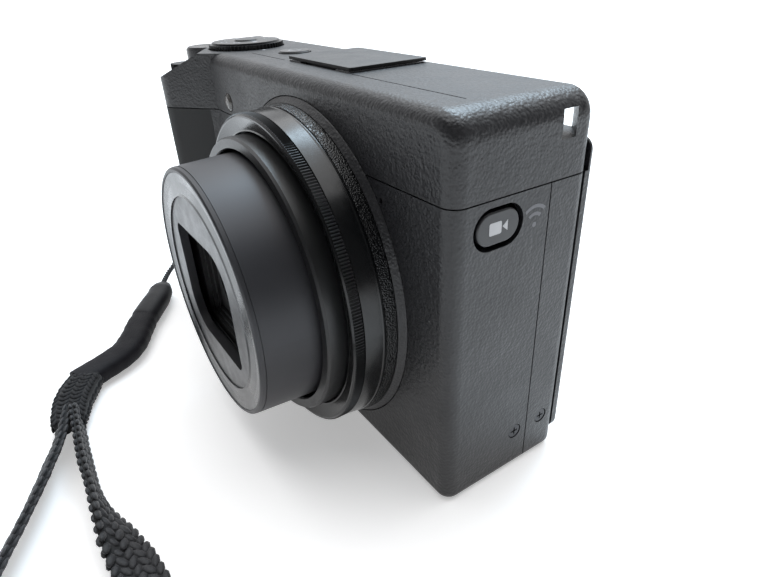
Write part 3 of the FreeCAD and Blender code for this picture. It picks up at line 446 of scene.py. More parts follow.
@dataclass
class Route:
    """Smooth line through a strap's control points."""

    points_mm: list[Spot]
    step: float = 0.0006
    line: list[Vector] = field(default_factory=list)

    def __post_init__(self) -> None:
        """Read the line from a NURBS spline and space its points evenly."""
        curve = bpy.data.curves.new("route", "CURVE")
        curve.dimensions = "3D"
        curve.resolution_u = 32
        spline = curve.splines.new("NURBS")
        spline.points.add(len(self.points_mm) - 1)
        for point, spot in zip(spline.points, self.points_mm):
            point.co = (*[value * MM for value in spot], 1.0)
        spline.order_u = 3
        spline.use_endpoint_u = True
        mesh = finished(bpy.data.objects.new("route", curve))
        raw = [vertex.co.copy() for vertex in mesh.vertices]
        bpy.data.meshes.remove(mesh)
        bpy.data.curves.remove(curve)
        self.line = self.even(raw)

    def even(self, raw: list[Vector]) -> list[Vector]:
        """Points a fixed step apart along a line."""
        spaced = [raw[0]]
        carried = 0.0
        for first, second in zip(raw, raw[1:]):
            length = (second - first).length
            travelled = self.step - carried
            while travelled <= length and length > 0:
                spaced.append(first.lerp(second, travelled / length))
                travelled += self.step
            carried = length - (travelled - self.step)
        if (spaced[-1] - raw[-1]).length > self.step * 0.2:
            spaced.append(raw[-1])
        return spaced

    @property
    def length(self) -> float:
        """Length along the line in metres."""
        return sum((b - a).length for a, b in zip(self.line, self.line[1:]))

    def frame_at(self, index: int, roll_deg: float = 0.0) -> tuple[Vector, Vector, Vector]:
        """Direction, side and up of the line at one point, turned by roll about the line."""
        low, high = max(0, index - 2), min(len(self.line) - 1, index + 2)
        ahead = (self.line[high] - self.line[low]).normalized()
        side = ahead.cross(Vector((0, 0, 1))).normalized()
        up = side.cross(ahead).normalized()
        c, s = math.cos(math.radians(roll_deg)), math.sin(math.radians(roll_deg))
        return ahead, side * c + up * s, up * c - side * s


def between(stops: list[tuple[float, float]], where: float) -> float:
    """Value at a place between listed (place, value) stops, eased from one to the next."""
    if where <= stops[0][0]:
        return stops[0][1]
    for (low, first), (high, second) in zip(stops, stops[1:]):
        if where <= high:
            share = (where - low) / (high - low)
            share = share * share * (3 - 2 * share)
            return first + (second - first) * share
    return stops[-1][1]


# ---------------------------------------------------------------- geometry trees

class ShapeTree(NodeSheet):
    """Geometry node tree with named inputs that turns a host piece into a finished mesh."""

    def __init__(self, name: str, inputs: dict[str, tuple[str, float | int]]) -> None:
        """Start a tree.

        Args:
            name: name of the tree.
            inputs: socket type and default value of each named input.
        """
        super().__init__(bpy.data.node_groups.new(name, "GeometryNodeTree"))
        face = self.tree.interface
        face.new_socket("Geometry", in_out="INPUT", socket_type="NodeSocketGeometry")
        self.sockets = {}
        for label, (kind, value) in inputs.items():
            socket = face.new_socket(label, in_out="INPUT", socket_type=kind)
            socket.default_value = value
            self.sockets[label] = socket.identifier
        face.new_socket("Geometry", in_out="OUTPUT", socket_type="NodeSocketGeometry")
        self.start = self.tree.nodes.new("NodeGroupInput")
        self.end = self.tree.nodes.new("NodeGroupOutput")

    def vector(self, x: object = 0.0, y: object = 0.0, z: object = 0.0) -> Socket:
        """Vector from three numbers."""
        return self.add("ShaderNodeCombineXYZ", {0: x, 1: y, 2: z}).outputs[0]

    def finish(self, instances: Socket, finish: Finish,
               kept: Socket | None = None) -> None:
        """Make the instances real, give them their finish and close the tree.

        Args:
            instances: the repeated shapes.
            finish: their finish.
            kept: host geometry that stays as it is, joined at the end.
        """
        real = self.add("GeometryNodeRealizeInstances", {"Geometry": instances}).outputs[0]
        smooth = self.add("GeometryNodeSetShadeSmooth", {"Geometry": real}).outputs[0]
        wires = {"Geometry": smooth, "Material": finish.material()}
        dressed = self.add("GeometryNodeSetMaterial", wires).outputs[0]
        if kept is not None:
            both = self.add("GeometryNodeJoinGeometry")
            self.tree.links.new(dressed, both.inputs[0])
            self.tree.links.new(kept, both.inputs[0])
            dressed = both.outputs[0]
        self.tree.links.new(dressed, self.end.inputs[0])

    def grow(self, host: Mesh, values: dict[str, float | int]) -> Mesh:
        """Run the tree on a host mesh.

        Args:
            host: mesh that the tree starts from.
            values: values of the named inputs.

        Returns:
            The plain mesh that comes out.
        """
        holder = bpy.data.objects.new("host", host)
        modifier = holder.modifiers.new("shape", "NODES")
        modifier.node_group = self.tree
        for label, value in values.items():
            modifier[self.sockets[label]] = value
        return finished(holder)


def toothed_ring_tree(finish: Finish) -> ShapeTree:
    """Tree that sets ridges side by side round a circle about Y."""
    inputs = {"Count": ("NodeSocketInt", 60), "Radius": ("NodeSocketFloat", 0.01),
              "Ridge": ("NodeSocketFloat", 0.0003), "Length": ("NodeSocketFloat", 0.001)}
    tree = ShapeTree("toothed_ring", inputs)
    given = tree.start.outputs
    circle = tree.add("GeometryNodeMeshCircle", {"Vertices": given["Count"], "Radius": given["Radius"]})
    size = {"Vertices": 4, "Radius": given["Ridge"], "Depth": given["Length"]}
    ridge = tree.add("GeometryNodeMeshCylinder", size)
    step = tree.maths("DIVIDE", 2 * math.pi, given["Count"])
    angle = tree.maths("MULTIPLY", tree.add("GeometryNodeInputIndex").outputs[0], step)
    ring = tree.add("GeometryNodeInstanceOnPoints", {"Points": circle.outputs["Mesh"],
                                                     "Instance": ridge.outputs["Mesh"],
                                                     "Rotation": tree.vector(z=angle)})
    turned = tree.add("GeometryNodeTransform", {"Geometry": ring.outputs[0], "Rotation": (math.pi / 2, 0, 0)})
    tree.finish(turned.outputs[0], finish)
    return tree


def bead_tree(name: str, finish: Finish, keep_host: bool) -> ShapeTree:
    """Tree that sets an egg-shaped bead on each marked point of its host, turned as the point says."""
    tree = ShapeTree(name, {"Length": ("NodeSocketFloat", 0.002), "Width": ("NodeSocketFloat", 0.001),
                            "Height": ("NodeSocketFloat", 0.0005), "Spread": ("NodeSocketFloat", 0.1),
                            "Seed": ("NodeSocketInt", 3)})
    given = tree.start.outputs
    ball = tree.add("GeometryNodeMeshUVSphere", {"Segments": 8, "Rings": 5, "Radius": 0.5})
    size = tree.vector(given["Length"], given["Width"], given["Height"])
    egg = tree.add("GeometryNodeTransform", {"Geometry": ball.outputs["Mesh"], "Scale": size})
    marked = tree.add("GeometryNodeInputNamedAttribute", {"Name": "marked"}, data_type="BOOLEAN").outputs[0]
    turn = tree.add("GeometryNodeInputNamedAttribute", {"Name": "turn"}, data_type="FLOAT_VECTOR").outputs[0]
    low = tree.maths("SUBTRACT", 1.0, given["Spread"])
    high = tree.maths("ADD", 1.0, given["Spread"])
    luck = tree.add("FunctionNodeRandomValue", {2: low, 3: high, "Seed": given["Seed"]}, data_type="FLOAT")
    beads = tree.add("GeometryNodeInstanceOnPoints", {"Points": given["Geometry"], "Selection": marked,
                                                      "Instance": egg.outputs[0], "Rotation": turn,
                                                      "Scale": luck.outputs[1]})
    kept = None
    if keep_host:
        cleared = tree.add("GeometryNodeDeleteGeometry", {"Geometry": given["Geometry"], "Selection": marked})
        kept = cleared.outputs[0]
    tree.finish(beads.outputs[0], finish, kept)
    return tree


def ring_stack_tree(finish: Finish) -> ShapeTree:
    """Tree that stacks thin rings along Z, as the crests of a thread."""
    tree = ShapeTree("thread", {"Count": ("NodeSocketInt", 4), "Radius": ("NodeSocketFloat", 0.003),
                                "Wire": ("NodeSocketFloat", 0.0002), "Pitch": ("NodeSocketFloat", 0.001)})
    given = tree.start.outputs
    circle = tree.add("GeometryNodeCurvePrimitiveCircle", {"Resolution": 40, "Radius": given["Radius"]})
    wire = tree.add("GeometryNodeCurvePrimitiveCircle", {"Resolution": 6, "Radius": given["Wire"]})
    ring = tree.add("GeometryNodeCurveToMesh", {"Curve": circle.outputs[0], "Profile Curve": wire.outputs[0]})
    rise = tree.vector(z=given["Pitch"])
    line = tree.add("GeometryNodeMeshLine", {"Count": given["Count"], "Offset": rise})
    stack = tree.add("GeometryNodeInstanceOnPoints", {"Points": line.outputs[0], "Instance": ring.outputs[0]})
    tree.finish(stack.outputs[0], finish)
    return tree


@dataclass
class BeadBed:
    """Points that beads are set on, each with the way its bead lies."""

    spots: list[Vector] = field(default_factory=list)
    turns: list[tuple[float, float, float]] = field(default_factory=list)

    def lay(self, spot: Vector, along: Vector, out: Vector) -> None:
        """Add a bead whose length runs along one direction and whose height points out."""
        out = out.normalized()
        along = (along - out * along.dot(out)).normalized()
        across = out.cross(along)
        turned = Matrix((along, across, out)).transposed().to_euler()
        self.spots.append(spot)
        self.turns.append(tuple(turned))

    def mesh(self, host: Mesh | None = None) -> Mesh:
        """Host mesh, or none, with the bead points added and marked."""
        sketch = bmesh.new()
        if host:
            sketch.from_mesh(host)
        marked = sketch.verts.layers.bool.new("marked")
        turn = sketch.verts.layers.float_vector.new("turn")
        for spot, angles in zip(self.spots, self.turns):
            vertex = sketch.verts.new(spot)
            vertex[marked] = True
            vertex[turn] = angles
        mesh = bpy.data.meshes.new("bed")
        sketch.to_mesh(mesh)
        sketch.free()
        for material in (host.materials if host else ()):
            mesh.materials.append(material)
        return mesh


# ---------------------------------------------------------------- studio

@dataclass
class Studio:
    """White table, soft light from above and behind, and the camera that looks on."""

    eye: Spot = (0.08773, -0.05458, 0.07615)
    turn_deg: Spot = (60.729, 2.211, 55.734)
    focal_mm: float = 26.80
    table_reach: float = 5.0
    table_glow: float = 0.4
    window: Spot = (-0.70, 0.55, 0.45)
    room_range: tuple[float, float] = (0.12, 1.15)
    sun_energy: float = 2.1
    sun_spread_deg: float = 75.0
    box_energy: float = 4.6
    box_size: tuple[float, float] = (0.42, 0.30)
    box_colour: Colour = (0.62, 0.83, 1.0)

    def build(self) -> None:
        """Make the camera, the lights and the table."""
        view = bpy.data.cameras.new("viewpoint")
        view.lens = self.focal_mm
        view.sensor_width = 36.0
        view.clip_start = 0.005
        view.clip_end = 20.0
        holder = bpy.data.objects.new("viewpoint", view)
        holder.location = self.eye
        holder.rotation_euler = [math.radians(value) for value in self.turn_deg]
        bpy.context.scene.collection.objects.link(holder)
        bpy.context.scene.camera = holder
        bpy.context.scene.view_settings.view_transform = "Standard"
        self.sky()
        self.lamps()
        self.table()

    def sky(self) -> None:
        """Room light that is bright towards the window and dim on the other side."""
        world = bpy.data.worlds.new("room")
        bpy.context.scene.world = world
        world.use_nodes = True
        sheet = NodeSheet(world.node_tree)
        back = sheet.tree.nodes["Background"]
        looked = sheet.add("ShaderNodeTexCoord").outputs["Generated"]
        towards = sheet.add("ShaderNodeVectorMath", {0: looked, 1: Vector(self.window).normalized()},
                            operation="DOT_PRODUCT").outputs["Value"]
        wires = {"Value": towards, "From Min": -0.05, "From Max": 0.85, "To Min": self.room_range[0],
                 "To Max": self.room_range[1]}
        ease = sheet.add("ShaderNodeMapRange", wires, interpolation_type="SMOOTHSTEP")
        sheet.wire(ease.outputs[0], back.inputs["Strength"])
        back.inputs["Color"].default_value = (0.97, 0.98, 1.0, 1.0)

    def lamps(self) -> None:
        """Broad overhead light and a cool soft box behind the lens."""
        sun = bpy.data.lights.new("overhead", "SUN")
        sun.energy = self.sun_energy
        sun.angle = math.radians(self.sun_spread_deg)
        self.hang(sun, (-0.25, 0.25, 1.0))
        box = bpy.data.lights.new("soft_box", "AREA")
        box.shape = "RECTANGLE"
        box.size, box.size_y = self.box_size
        box.energy = self.box_energy
        box.color = self.box_colour
        self.hang(box, (-0.24, 0.36, 0.62))

    def hang(self, light: bpy.types.Light, spot: Spot) -> None:
        """Put a light at a spot, aimed at the camera's middle."""
        holder = bpy.data.objects.new(light.name, light)
        holder.location = spot
        holder.rotation_euler = Vector(spot).to_track_quat("Z", "Y").to_euler()
        bpy.context.scene.collection.objects.link(holder)

    def table(self) -> None:
        """Flat pale table top."""
        sketch = bmesh.new()
        bmesh.ops.create_grid(sketch, x_segments=8, y_segments=8, size=self.table_reach)
        bmesh.ops.translate(sketch, verts=sketch.verts, vec=(0, 0, -0.00002))
        top = new_piece("table_top", mesh_from(sketch, "table_top"), (TABLE,), None)
        shader = TABLE.material().node_tree.nodes["Principled BSDF"]
        shader.inputs["Emission Color"].default_value = (1.0, 1.0, 1.0, 1.0)
        shader.inputs["Emission Strength"].default_value = self.table_glow


# ---------------------------------------------------------------- wrist strap

@dataclass
class WristStrap:
    """String, slider, leather sleeve, stitched joint and braided loop."""

    string_mm: list[Spot] = field(default_factory=lambda: [
        (-68.2, 8.5, 57.8), (-72.0, 4.7, 57.3), (-74.2, 2.0, 52.0), (-75.2, -2.0, 39.0), (-76.0, -7.5, 24.0),
        (-76.2, -15.0, 10.0), (-73.0, -22.5, 3.2), (-67.5, -27.5, 2.2), (-61.0, -30.2, 2.6)])
    slider_mm: list[Spot] = field(default_factory=lambda: [
        (-61.8, -29.7, 2.6), (-55.5, -32.2, 2.8), (-50.5, -35.6, 2.9), (-46.0, -38.6, 2.85)])
    sleeve_mm: list[Spot] = field(default_factory=lambda: [
        (-49.5, -36.3, 2.9), (-44.5, -39.6, 2.8), (-36.5, -43.5, 2.7), (-32.4, -47.6, 2.6),
        (-28.9, -56.4, 2.6)])
    loop_mm: list[Spot] = field(default_factory=lambda: [
        (-16.4, -60.5, 3.0), (-6.0, -64.3, 3.6), (1.5, -67.6, 3.7), (11.0, -72.6, 3.6), (24.0, -79.6, 3.2),
        (41.0, -89.0, 2.4), (64.0, -97.0, 1.8), (90.0, -97.0, 1.7), (109.0, -83.0, 1.7), (110.0, -63.0, 1.7),
        (94.0, -50.0, 1.7), (71.0, -48.5, 1.7), (50.0, -52.3, 1.7), (34.0, -55.4, 1.7), (22.0, -57.3, 1.9),
        (12.5, -58.6, 2.6), (4.5, -59.4, 3.3), (-4.5, -59.2, 3.6), (-16.4, -58.4, 3.0)])
    string_d: float = 0.0014
    webbing_w: float = 0.0070
    webbing_t: float = 0.0009
    body: str = "camera_body"

    def build(self) -> None:
        """Make every piece of the strap."""
        slider = self.slider()
        sleeve = self.sleeve()
        joint = self.joint()
        self.string()
        self.loop()

    def string(self) -> None:
        """Thin cord of three twisted strands from the eyelet to the slider."""
        route = Route(self.string_mm, step=0.00035)
        sketch = bmesh.new()
        twist_m, strand_out, strand_r = 0.0034, 0.00034, 0.00037
        for strand in range(3):
            stations = []
            for index, centre in enumerate(route.line):
                angle = 2 * math.pi * (index * route.step / twist_m + strand / 3)
                _, side, up = route.frame_at(index)
                offset = (side * math.cos(angle) + up * math.sin(angle)) * strand_out
                stations.append((centre + offset, side, up, ellipse(strand_r, strand_r, 7)))
            sweep(sketch, stations)
        piece = new_piece("strap_cord", mesh_from(sketch, "strap_cord"), (CORD,), self.body, 60)
        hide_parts("strap_string")
        route.length
        log.info("string is %.1f mm long", route.length / MM)

    def slider(self) -> bpy.types.Object:
        """Moulded end piece with a round nose and a small step where the sleeve goes in."""
        route = Route(self.slider_mm, step=0.0004)
        total = len(route.line) - 1
        wide = [(0.0, 0.6), (0.03, 1.5), (0.10, 2.35), (0.24, 2.95), (0.6, 3.2), (0.93, 3.25),
                (0.985, 3.05), (1.0, 2.6)]
        high = [(0.0, 0.4), (0.03, 1.1), (0.10, 1.75), (0.24, 2.25), (0.6, 2.4), (0.93, 2.4),
                (0.985, 2.25), (1.0, 1.9)]
        stations = []
        for index, centre in enumerate(route.line):
            _, side, up = route.frame_at(index)
            share = index / total
            outline = ellipse(between(wide, share) * MM, between(high, share) * MM, 28, 2.5)
            stations.append((centre, side, up, outline))
        piece = new_piece("strap_slider_body", swept("slider", stations), (SLIDER,), self.body, 50)
        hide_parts("strap_sleeve")
        return piece

    def sleeve(self) -> bpy.types.Object:
        """Leather sleeve wrapped round the webbing, a little uneven along its edges."""
        route = Route(self.sleeve_mm, step=0.0004)
        total = len(route.line) - 1
        wide = [(0.0, 2.95), (0.25, 3.25), (0.55, 3.35), (0.85, 3.35), (1.0, 3.2)]
        stations = []
        for index, centre in enumerate(route.line):
            _, side, up = route.frame_at(index)
            ripple = 0.05 * math.sin(index * 0.9) + 0.04 * math.sin(index * 0.37 + 1.0)
            half = (between(wide, index / total) + ripple) * MM
            outline = [(u, v if v > 0 else max(v, -0.0021)) for u, v in ellipse(half, 0.0022, 28, 2.7)]
            stations.append((centre, side, up, outline))
        piece = new_piece("strap_leather_sleeve", swept("sleeve", stations), (SLEEVE,), self.body, 50)
        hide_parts("strap_sleeve")
        return piece

    def joint(self) -> bpy.types.Object:
        """Folded webbing sewn to the end of the sleeve, with slanting yarns."""
        middle_mm = [(-29.6, -54.2, 2.6), (-25.5, -57.0, 2.7), (-20.5, -59.2, 2.6), (-15.3, -60.3, 2.5)]
        route = Route(middle_mm, step=0.0004)
        total = len(route.line) - 1
        wide = [(0.0, 3.0), (0.08, 3.5), (0.35, 3.75), (0.75, 3.5), (0.93, 3.1), (1.0, 2.5)]
        high = [(0.0, 1.6), (0.08, 2.2), (0.35, 2.3), (0.75, 2.1), (0.93, 1.9), (1.0, 1.4)]
        stations = []
        bed = BeadBed()
        for index, centre in enumerate(route.line):
            ahead, side, up = route.frame_at(index)
            share = index / total
            half, tall = between(wide, share) * MM, between(high, share) * MM
            stations.append((centre, side, up, ellipse(half - 0.0002, tall - 0.0002, 24, 3.2)))
            if index % 3 == 2 and 0.04 < share < 0.98:
                self.lay_row(bed, centre, (ahead, side, up), half, tall, index // 3)
        core = swept("joint", stations)
        core.materials.append(CORE.material())
        tree = bead_tree("joint_yarns", SEWN, keep_host=True)
        beads = {"Length": 0.0019, "Width": 0.00095, "Height": 0.00065, "Spread": 0.15, "Seed": 5}
        mesh = tree.grow(bed.mesh(core), beads)
        piece = dress_grown("strap_stitched_joint", mesh, self.body)
        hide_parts("strap_joint")
        return piece

    def lay_row(self, bed: BeadBed, centre: Vector, axes: tuple[Vector, Vector, Vector], half: float,
                tall: float, row: int) -> None:
        """Lay one row of slanting yarns over the joint, top, sides and bottom."""
        ahead, side, up = axes
        columns = 6
        for column in range(columns):
            u = (column + 0.5) / columns * 2 - 1
            slant = 0.75 if column % 2 else -0.75
            lift = tall * (1 - abs(u) ** 4 * 0.35) - 0.0003
            for sign in (1, -1):
                spot = centre + side * (u * (half - 0.0004)) + up * (sign * lift)
                bed.lay(spot, ahead + side * slant, up * sign + side * (u * 0.5))
        tilt = 0.6 if row % 2 else -0.6
        for sign in (1, -1):
            bed.lay(centre + side * (sign * (half - 0.0002)), ahead + up * tilt, side * sign)

    def loop(self) -> None:
        """Flat braided loop that starts and ends in the joint."""
        route = Route(self.loop_mm, step=0.0009)
        length = route.length
        reach = length / MM
        roll = [(0.0, 112.0), (10.0, 127.0), (36.0, 127.0), (66.0, 180.0), (reach - 44.0, 180.0),
                (reach - 20.0, 96.0), (reach, 92.0)]
        outline = ellipse(self.webbing_w / 2 - 0.0006, self.webbing_t / 2, 12, 4.0)
        stations = []
        bed = BeadBed()
        for index, centre in enumerate(route.line):
            where = index * route.step / MM
            ahead, side, up = route.frame_at(index, between(roll, where))
            lift = max(0.0, abs(side.z) * self.webbing_w / 2 + abs(up.z) * 0.0009 + 0.00005 - centre.z)
            middle = centre + Vector((0, 0, lift))
            stations.append((middle, side, up, outline))
            if index % 2:
                self.lay_braid(bed, middle, ahead, side, up)
        core = swept("loop", stations)
        core.materials.append(CORE.material())
        tree = bead_tree("loop_yarns", YARN, keep_host=True)
        beads = {"Length": 0.0025, "Width": 0.00125, "Height": 0.0007, "Spread": 0.12, "Seed": 11}
        mesh = tree.grow(bed.mesh(core), beads)
        piece = dress_grown("strap_braided_loop", mesh, self.body)
        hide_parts("wrist_loop")
        log.info("loop is %.1f mm long", reach)

    def lay_braid(self, bed: BeadBed, middle: Vector, ahead: Vector, side: Vector, up: Vector) -> None:
        """Lay one row of yarns on both faces; neighbouring columns slant opposite ways, half a row apart."""
        columns = 5
        for column in range(columns):
            u = ((column + 0.5) / columns - 0.5) * (self.webbing_w - 0.0005)
            slant = 0.5 if column % 2 else -0.5
            stagger = ahead * (0.00045 if column % 2 else -0.00045)
            for sign in (1, -1):
                spot = middle + side * u + up * (sign * 0.0004) + stagger
                bed.lay(spot, ahead + side * slant, up * sign)


def dress_grown(name: str, mesh: Mesh, body: str) -> bpy.types.Object:
    """Put a mesh that a geometry tree has made in the scene, with the materials that the tree gave it."""
    mesh.name = name
    piece = bpy.data.objects.new(name, mesh)
    bpy.context.scene.collection.objects.link(piece)
    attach(piece, body)
    log.info("%s: %d faces", name, len(mesh.polygons))
    return piece


def dress(finish: Finish, *nodes: str) -> None:
    """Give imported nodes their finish."""
    for name in nodes:
        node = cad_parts[name]
        node.data.materials.clear()
        node.data.materials.append(finish.material())


# ---------------------------------------------------------------- lens

@dataclass
class LensUnit:
    """Collar, ring cap with its knurled band, the two barrels and what shows through the window."""

    band_radius_mm: float = 27.86
    band_depth_mm: float = -7.27
    band_length_mm: float = 1.5
    teeth: int = 342

    def build(self) -> None:
        """Dress the lens and add the knurled band."""
        dress(PAINT, "lens_collar")
        dress(RING, "ring_cap")
        dress(STEEL, "bayonet_ring")
        dress(CELL, "fixed_lens_tube", "lens_cell", "shutter_unit")
        dress(FIRST, "first_barrel")
        dress(BARREL, "front_barrel")
        dress(BEZEL, "bezel_ring")
        dress(DISC, "inner_disc")
        dress(BLADE, *[f"{place}_blade" for place in ("upper_leading", "lower_leading", "upper_trailing",
                                                      "lower_trailing")])
        dress(LENS, "front_lens_group", "rear_lens_group")
        dress(BUTTON, "ring_release_button")
        self.knurl()

    def knurl(self) -> None:
        """Fine ridges side by side round the ring cap."""
        tree = toothed_ring_tree(KNURL)
        ridge = 0.00027
        mesh = tree.grow(bpy.data.meshes.new("seed"), {
            "Count": self.teeth, "Radius": self.band_radius_mm * MM - ridge * 0.25, "Ridge": ridge,
            "Length": self.band_length_mm * MM})
        mesh.transform(Matrix.Translation((0, (FACE_Y_MM + self.band_depth_mm) * MM, LENS_Z_MM * MM)))
        piece = dress_grown("ring_knurl", mesh, "ring")
        piece.data.shade_flat()


# ---------------------------------------------------------------- case

@dataclass
class CaseShell:
    """Covers, base, screws and small fittings of the case."""

    thread_pitch_mm: float = 1.27

    def build(self) -> None:
        """Dress the shell and cut the look of a thread into the tripod socket."""
        dress(PAINT, "front_cover", "top_cover", "rear_cover", "battery_door", "base_plate")
        dress(GRIP, "grip_cover")
        dress(SCREW, "case_screws")
        dress(STEEL, "tripod_socket", "strap_bars", "battery_hinge_pin", "usb_socket")
        dress(LAMP, "focus_lamp")
        dress(BUTTON, "battery_latch")
        dress(FLAP, "usb_cover")
        dress(INNER, "speaker")
        tree = ring_stack_tree(STEEL)
        mesh = tree.grow(bpy.data.meshes.new("seed"), {"Count": 4, "Radius": 0.00268, "Wire": 0.00022,
                                                       "Pitch": self.thread_pitch_mm * MM})
        mesh.transform(Matrix.Translation((0, 0, 0.0008)))
        piece = dress_grown("tripod_thread", mesh, "camera_body")


# ---------------------------------------------------------------- markings

class Plane(enum.Enum):
    """Face that a marking lies on, as the directions of its right, up and outward axes."""

    DECK = ((1, 0, 0), (0, 1, 0), (0, 0, 1))
    END = ((0, 1, 0), (0, 0, 1), (1, 0, 0))
    REAR = ((-1, 0, 0), (0, 0, 1), (0, 1, 0))


@dataclass
class Marking:
    """Thin printed shape on one face of the camera."""

    name: str
    plane: Plane
    centre_mm: Spot
    body: str
    finish: Finish
    thickness_mm: float = 0.03

    def point(self, u: float, v: float, lift: float) -> Vector:
        """Place of a flat point in millimetres."""
        right, up, out = (Vector(axis) for axis in self.plane.value)
        return (Vector(self.centre_mm) + right * u + up * v + out * lift) * MM

    def build(self, outlines: list[Outline]) -> bpy.types.Object:
        """Make one thin piece from closed flat outlines in millimetres."""
        sketch = bmesh.new()
        for outline in outlines:
            low = [sketch.verts.new(self.point(u, v, 0.0)) for u, v in outline]
            high = [sketch.verts.new(self.point(u, v, self.thickness_mm)) for u, v in outline]
            sketch.faces.new(high)
            sketch.faces.new(low[::-1])
            for index in range(len(outline)):
                after = (index + 1) % len(outline)
                sketch.faces.new((low[index], low[after], high[after], high[index]))
        return new_piece(self.name, mesh_from(sketch, self.name), (self.finish,), self.body)

    def text(self, words: str, size_mm: float) -> bpy.types.Object:
        """Make raised figures centred on the marking's place."""
        curve = bpy.data.curves.new(self.name, "FONT")
        curve.body = words
        curve.size = size_mm * MM
        curve.extrude = self.thickness_mm * MM / 2
        curve.align_x = "CENTER"
        curve.align_y = "CENTER"
        mesh = finished(bpy.data.objects.new("figures", curve))
        right, up, out = (Vector(axis) for axis in self.plane.value)
        turn = Matrix((right, up, out)).transposed().to_4x4()
        mesh.transform(Matrix.Translation(self.point(0, 0, self.thickness_mm / 2)) @ turn)
        return new_piece(self.name, mesh, (self.finish,), self.body)


def rounded(width: float, height: float, radius: float, centre: tuple[float, float] = (0.0, 0.0),
            steps: int = 6) -> Outline:
    """Outline of a rounded rectangle."""
    points = []
    corners = ((1, 1, 0), (-1, 1, 90), (-1, -1, 180), (1, -1, 270))
    for right, up, start in corners:
        for step in range(steps + 1):
            angle = math.radians(start + 90 * step / steps)
            points.append((centre[0] + right * (width / 2 - radius) + radius * math.cos(angle),
                           centre[1] + up * (height / 2 - radius) + radius * math.sin(angle)))
    return points


def arc_band(radius: float, width: float, low_deg: float, high_deg: float, steps: int = 14) -> Outline:
    """Outline of a curved band about the origin."""
    angles = [math.radians(low_deg + (high_deg - low_deg) * step / steps) for step in range(steps + 1)]
    outer, inner = [[(reach * math.cos(a), reach * math.sin(a)) for a in angles]
                    for reach in (radius + width / 2, radius - width / 2)]
    return outer + inner[::-1]


# ---------------------------------------------------------------- controls

@dataclass
class ButtonEnd:
    """Movie button with its pictogram and the printed radio waves."""

    movie_yz_mm: tuple[float, float] = (-5.1, 46.5)
    waves_yz_mm: tuple[float, float] = (1.5, 45.2)

    def build(self) -> None:
        """Dress the movie button and print its markings."""
        dress(BUTTON, "movie_button")
        y, z = self.movie_yz_mm
        film = Marking("movie_mark", Plane.END, (END_X_MM - 0.055, y, z), "movie", WHITE_INK)
        film.build([rounded(2.15, 1.75, 0.25, (-0.55, 0.0)), [(0.7, 0.0), (1.6, 0.75), (1.6, -0.75)]])
        y, z = self.waves_yz_mm
        waves = Marking("wave_mark", Plane.END, (END_X_MM - 0.005, y, z), "camera_body", GREY_INK)
        bands = [arc_band(radius, 0.5, 48, 132) for radius in (1.55, 2.65)]
        waves.build([rounded(0.75, 0.75, 0.36)] + bands)


@dataclass
class Deck:
    """Hot shoe, dials and buttons on the deck."""

    dial_xy_mm: tuple[float, float] = (-45.3, -2.2)
    dial_top_mm: float = 63.2
    mark_circle_mm: float = 5.1

    def build(self) -> None:
        """Dress the deck controls and print the dial's figures."""
        dress(STEEL, "hot_shoe_rails")
        dress(BRASS, "hot_shoe_contacts")
        dress(SHOE, "hot_shoe_cover")
        dress(BUTTON, "power_button", "dial_lock_button")
        dress(DIAL, "mode_dial")
        dress(SHUTTER, "shutter_button")
        dress(THUMBWHEEL, "front_dial")
        x, y = self.dial_xy_mm
        for step in range(8):
            angle = math.radians(45 * step)
            spot = (x + self.mark_circle_mm * math.cos(angle), y + self.mark_circle_mm * math.sin(angle),
                    self.dial_top_mm - 0.005)
            mark = Marking(f"dial_mark_{step}", Plane.DECK, spot, "mode_dial", WHITE_INK)
            if step in (1, 3, 5):
                mark.text(str((step + 1) // 2), 2.2)
            else:
                mark.build([arc_band(0.62, 0.28, 0, 350) if step % 4 else rounded(1.3, 0.95, 0.3)])
        index = Marking("dial_index", Plane.DECK, (x + 9.6, y, DECK_Z_MM - 0.005), "camera_body", WHITE_INK)
        index.build([[(-0.7, 0.0), (0.5, 0.5), (0.5, -0.5)]])
        power = Marking("power_mark", Plane.DECK, (-26.5, 0.5, 62.295), "power", WHITE_INK)
        power.build([arc_band(1.15, 0.25, 125, 415), rounded(0.25, 1.2, 0.1, (0.0, 1.1))])


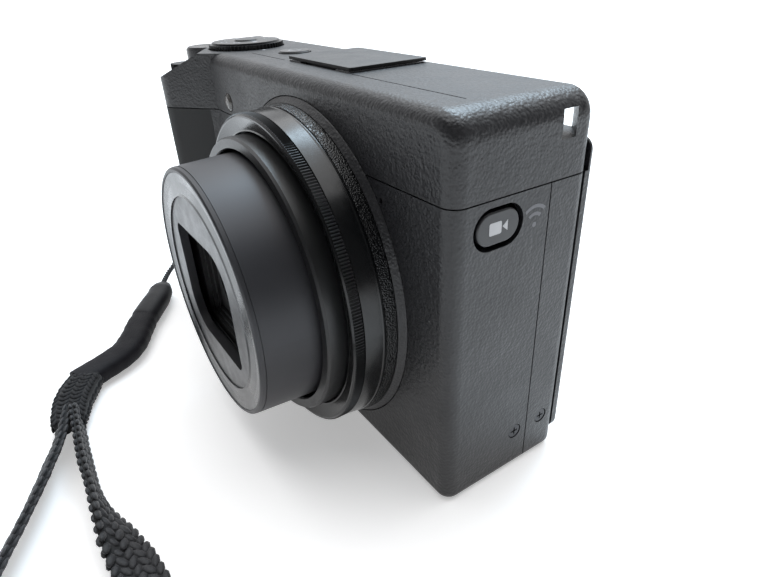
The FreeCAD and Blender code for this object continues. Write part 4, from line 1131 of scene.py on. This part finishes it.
@dataclass
class RearPanel:
    """Screen, rear buttons, control wheel and lever."""

    buttons_mm: dict[str, tuple[float, float]] = field(default_factory=lambda: {
        "playback_button": (-60.0, 45.0), "menu_button": (-60.0, 14.0), "display_button": (-44.0, 14.0)})
    wheel_mark_mm: float = 7.0

    def build(self) -> None:
        """Dress the rear and print its marks."""
        dress(SCREEN, "screen_window")
        dress(DISPLAY, "screen_module")
        dress(BUTTON, "playback_button", "menu_button", "display_button", "confirm_button", "adjust_lever")
        dress(WHEEL, "control_wheel")
        shapes = {"playback_button": [[(-0.75, 0.9), (-0.75, -0.9), (0.95, 0.0)]],
                  "menu_button": [rounded(2.2, 0.3, 0.12, (0.0, lift)) for lift in (0.7, 0.0, -0.7)],
                  "display_button": [arc_band(0.95, 0.26, 20, 340), rounded(0.5, 0.5, 0.2)]}
        bodies = {"playback_button": "playback", "menu_button": "menu", "display_button": "display"}
        for name, (x, z) in self.buttons_mm.items():
            spot = (x, REAR_Y_MM + 0.885, z)
            Marking(f"{name}_mark", Plane.REAR, spot, bodies[name], WHITE_INK).build(shapes[name])
        wheel = Marking("wheel_marks", Plane.REAR, (-52.0, REAR_Y_MM + 0.895, 30.0), "wheel", WHITE_INK)
        reach = self.wheel_mark_mm
        wheel.build([[(reach * math.cos(a) + du, reach * math.sin(a) + dv) for du, dv in
                      ((-0.45, -0.45), (0.45, -0.45), (0.45, 0.45), (-0.45, 0.45))]
                     for a in (0, math.pi / 2, math.pi, 3 * math.pi / 2)])
        self.thumb_rest()

    def thumb_rest(self) -> None:
        """Rows of small raised dots where the thumb lies."""
        bed = BeadBed()
        for row in range(9):
            for column in range(5):
                x = -42.2 + 1.5 * column + (0.75 if row % 2 else 0.0)
                z = 36.6 + 1.3 * row
                bed.lay(Vector((x, REAR_Y_MM, z)) * MM, Vector((1, 0, 0)), Vector((0, 1, 0)))
        tree = bead_tree("thumb_dots", GRIP, keep_host=False)
        mesh = tree.grow(bed.mesh(), {"Length": 0.0009, "Width": 0.0009, "Height": 0.0006, "Spread": 0.0,
                                      "Seed": 1})
        piece = dress_grown("thumb_rest_dots", mesh, "camera_body")


@dataclass
class Insides:
    """Parts behind the covers."""

    def build(self) -> None:
        """Dress the inner nodes."""
        dress(CHASSIS, "chassis", "card_slot")
        dress(BOARD, "main_board")
        dress(SENSOR, "sensor_unit")
        dress(INNER, "battery_box")
        dress(BATTERY, "battery")
        dress(CARD, "memory_card")


def main() -> None:
    """Build the studio, the strap and every part of the camera in turn."""
    logging.basicConfig(level=logging.INFO, format="%(message)s")
    Studio().build()
    WristStrap().build()
    makers: list[Callable[[], None]] = [CaseShell().build, LensUnit().build, Deck().build, ButtonEnd().build,
                                        RearPanel().build, Insides().build]
    for make in makers:
        make()


if __name__ == "__main__":
    main()
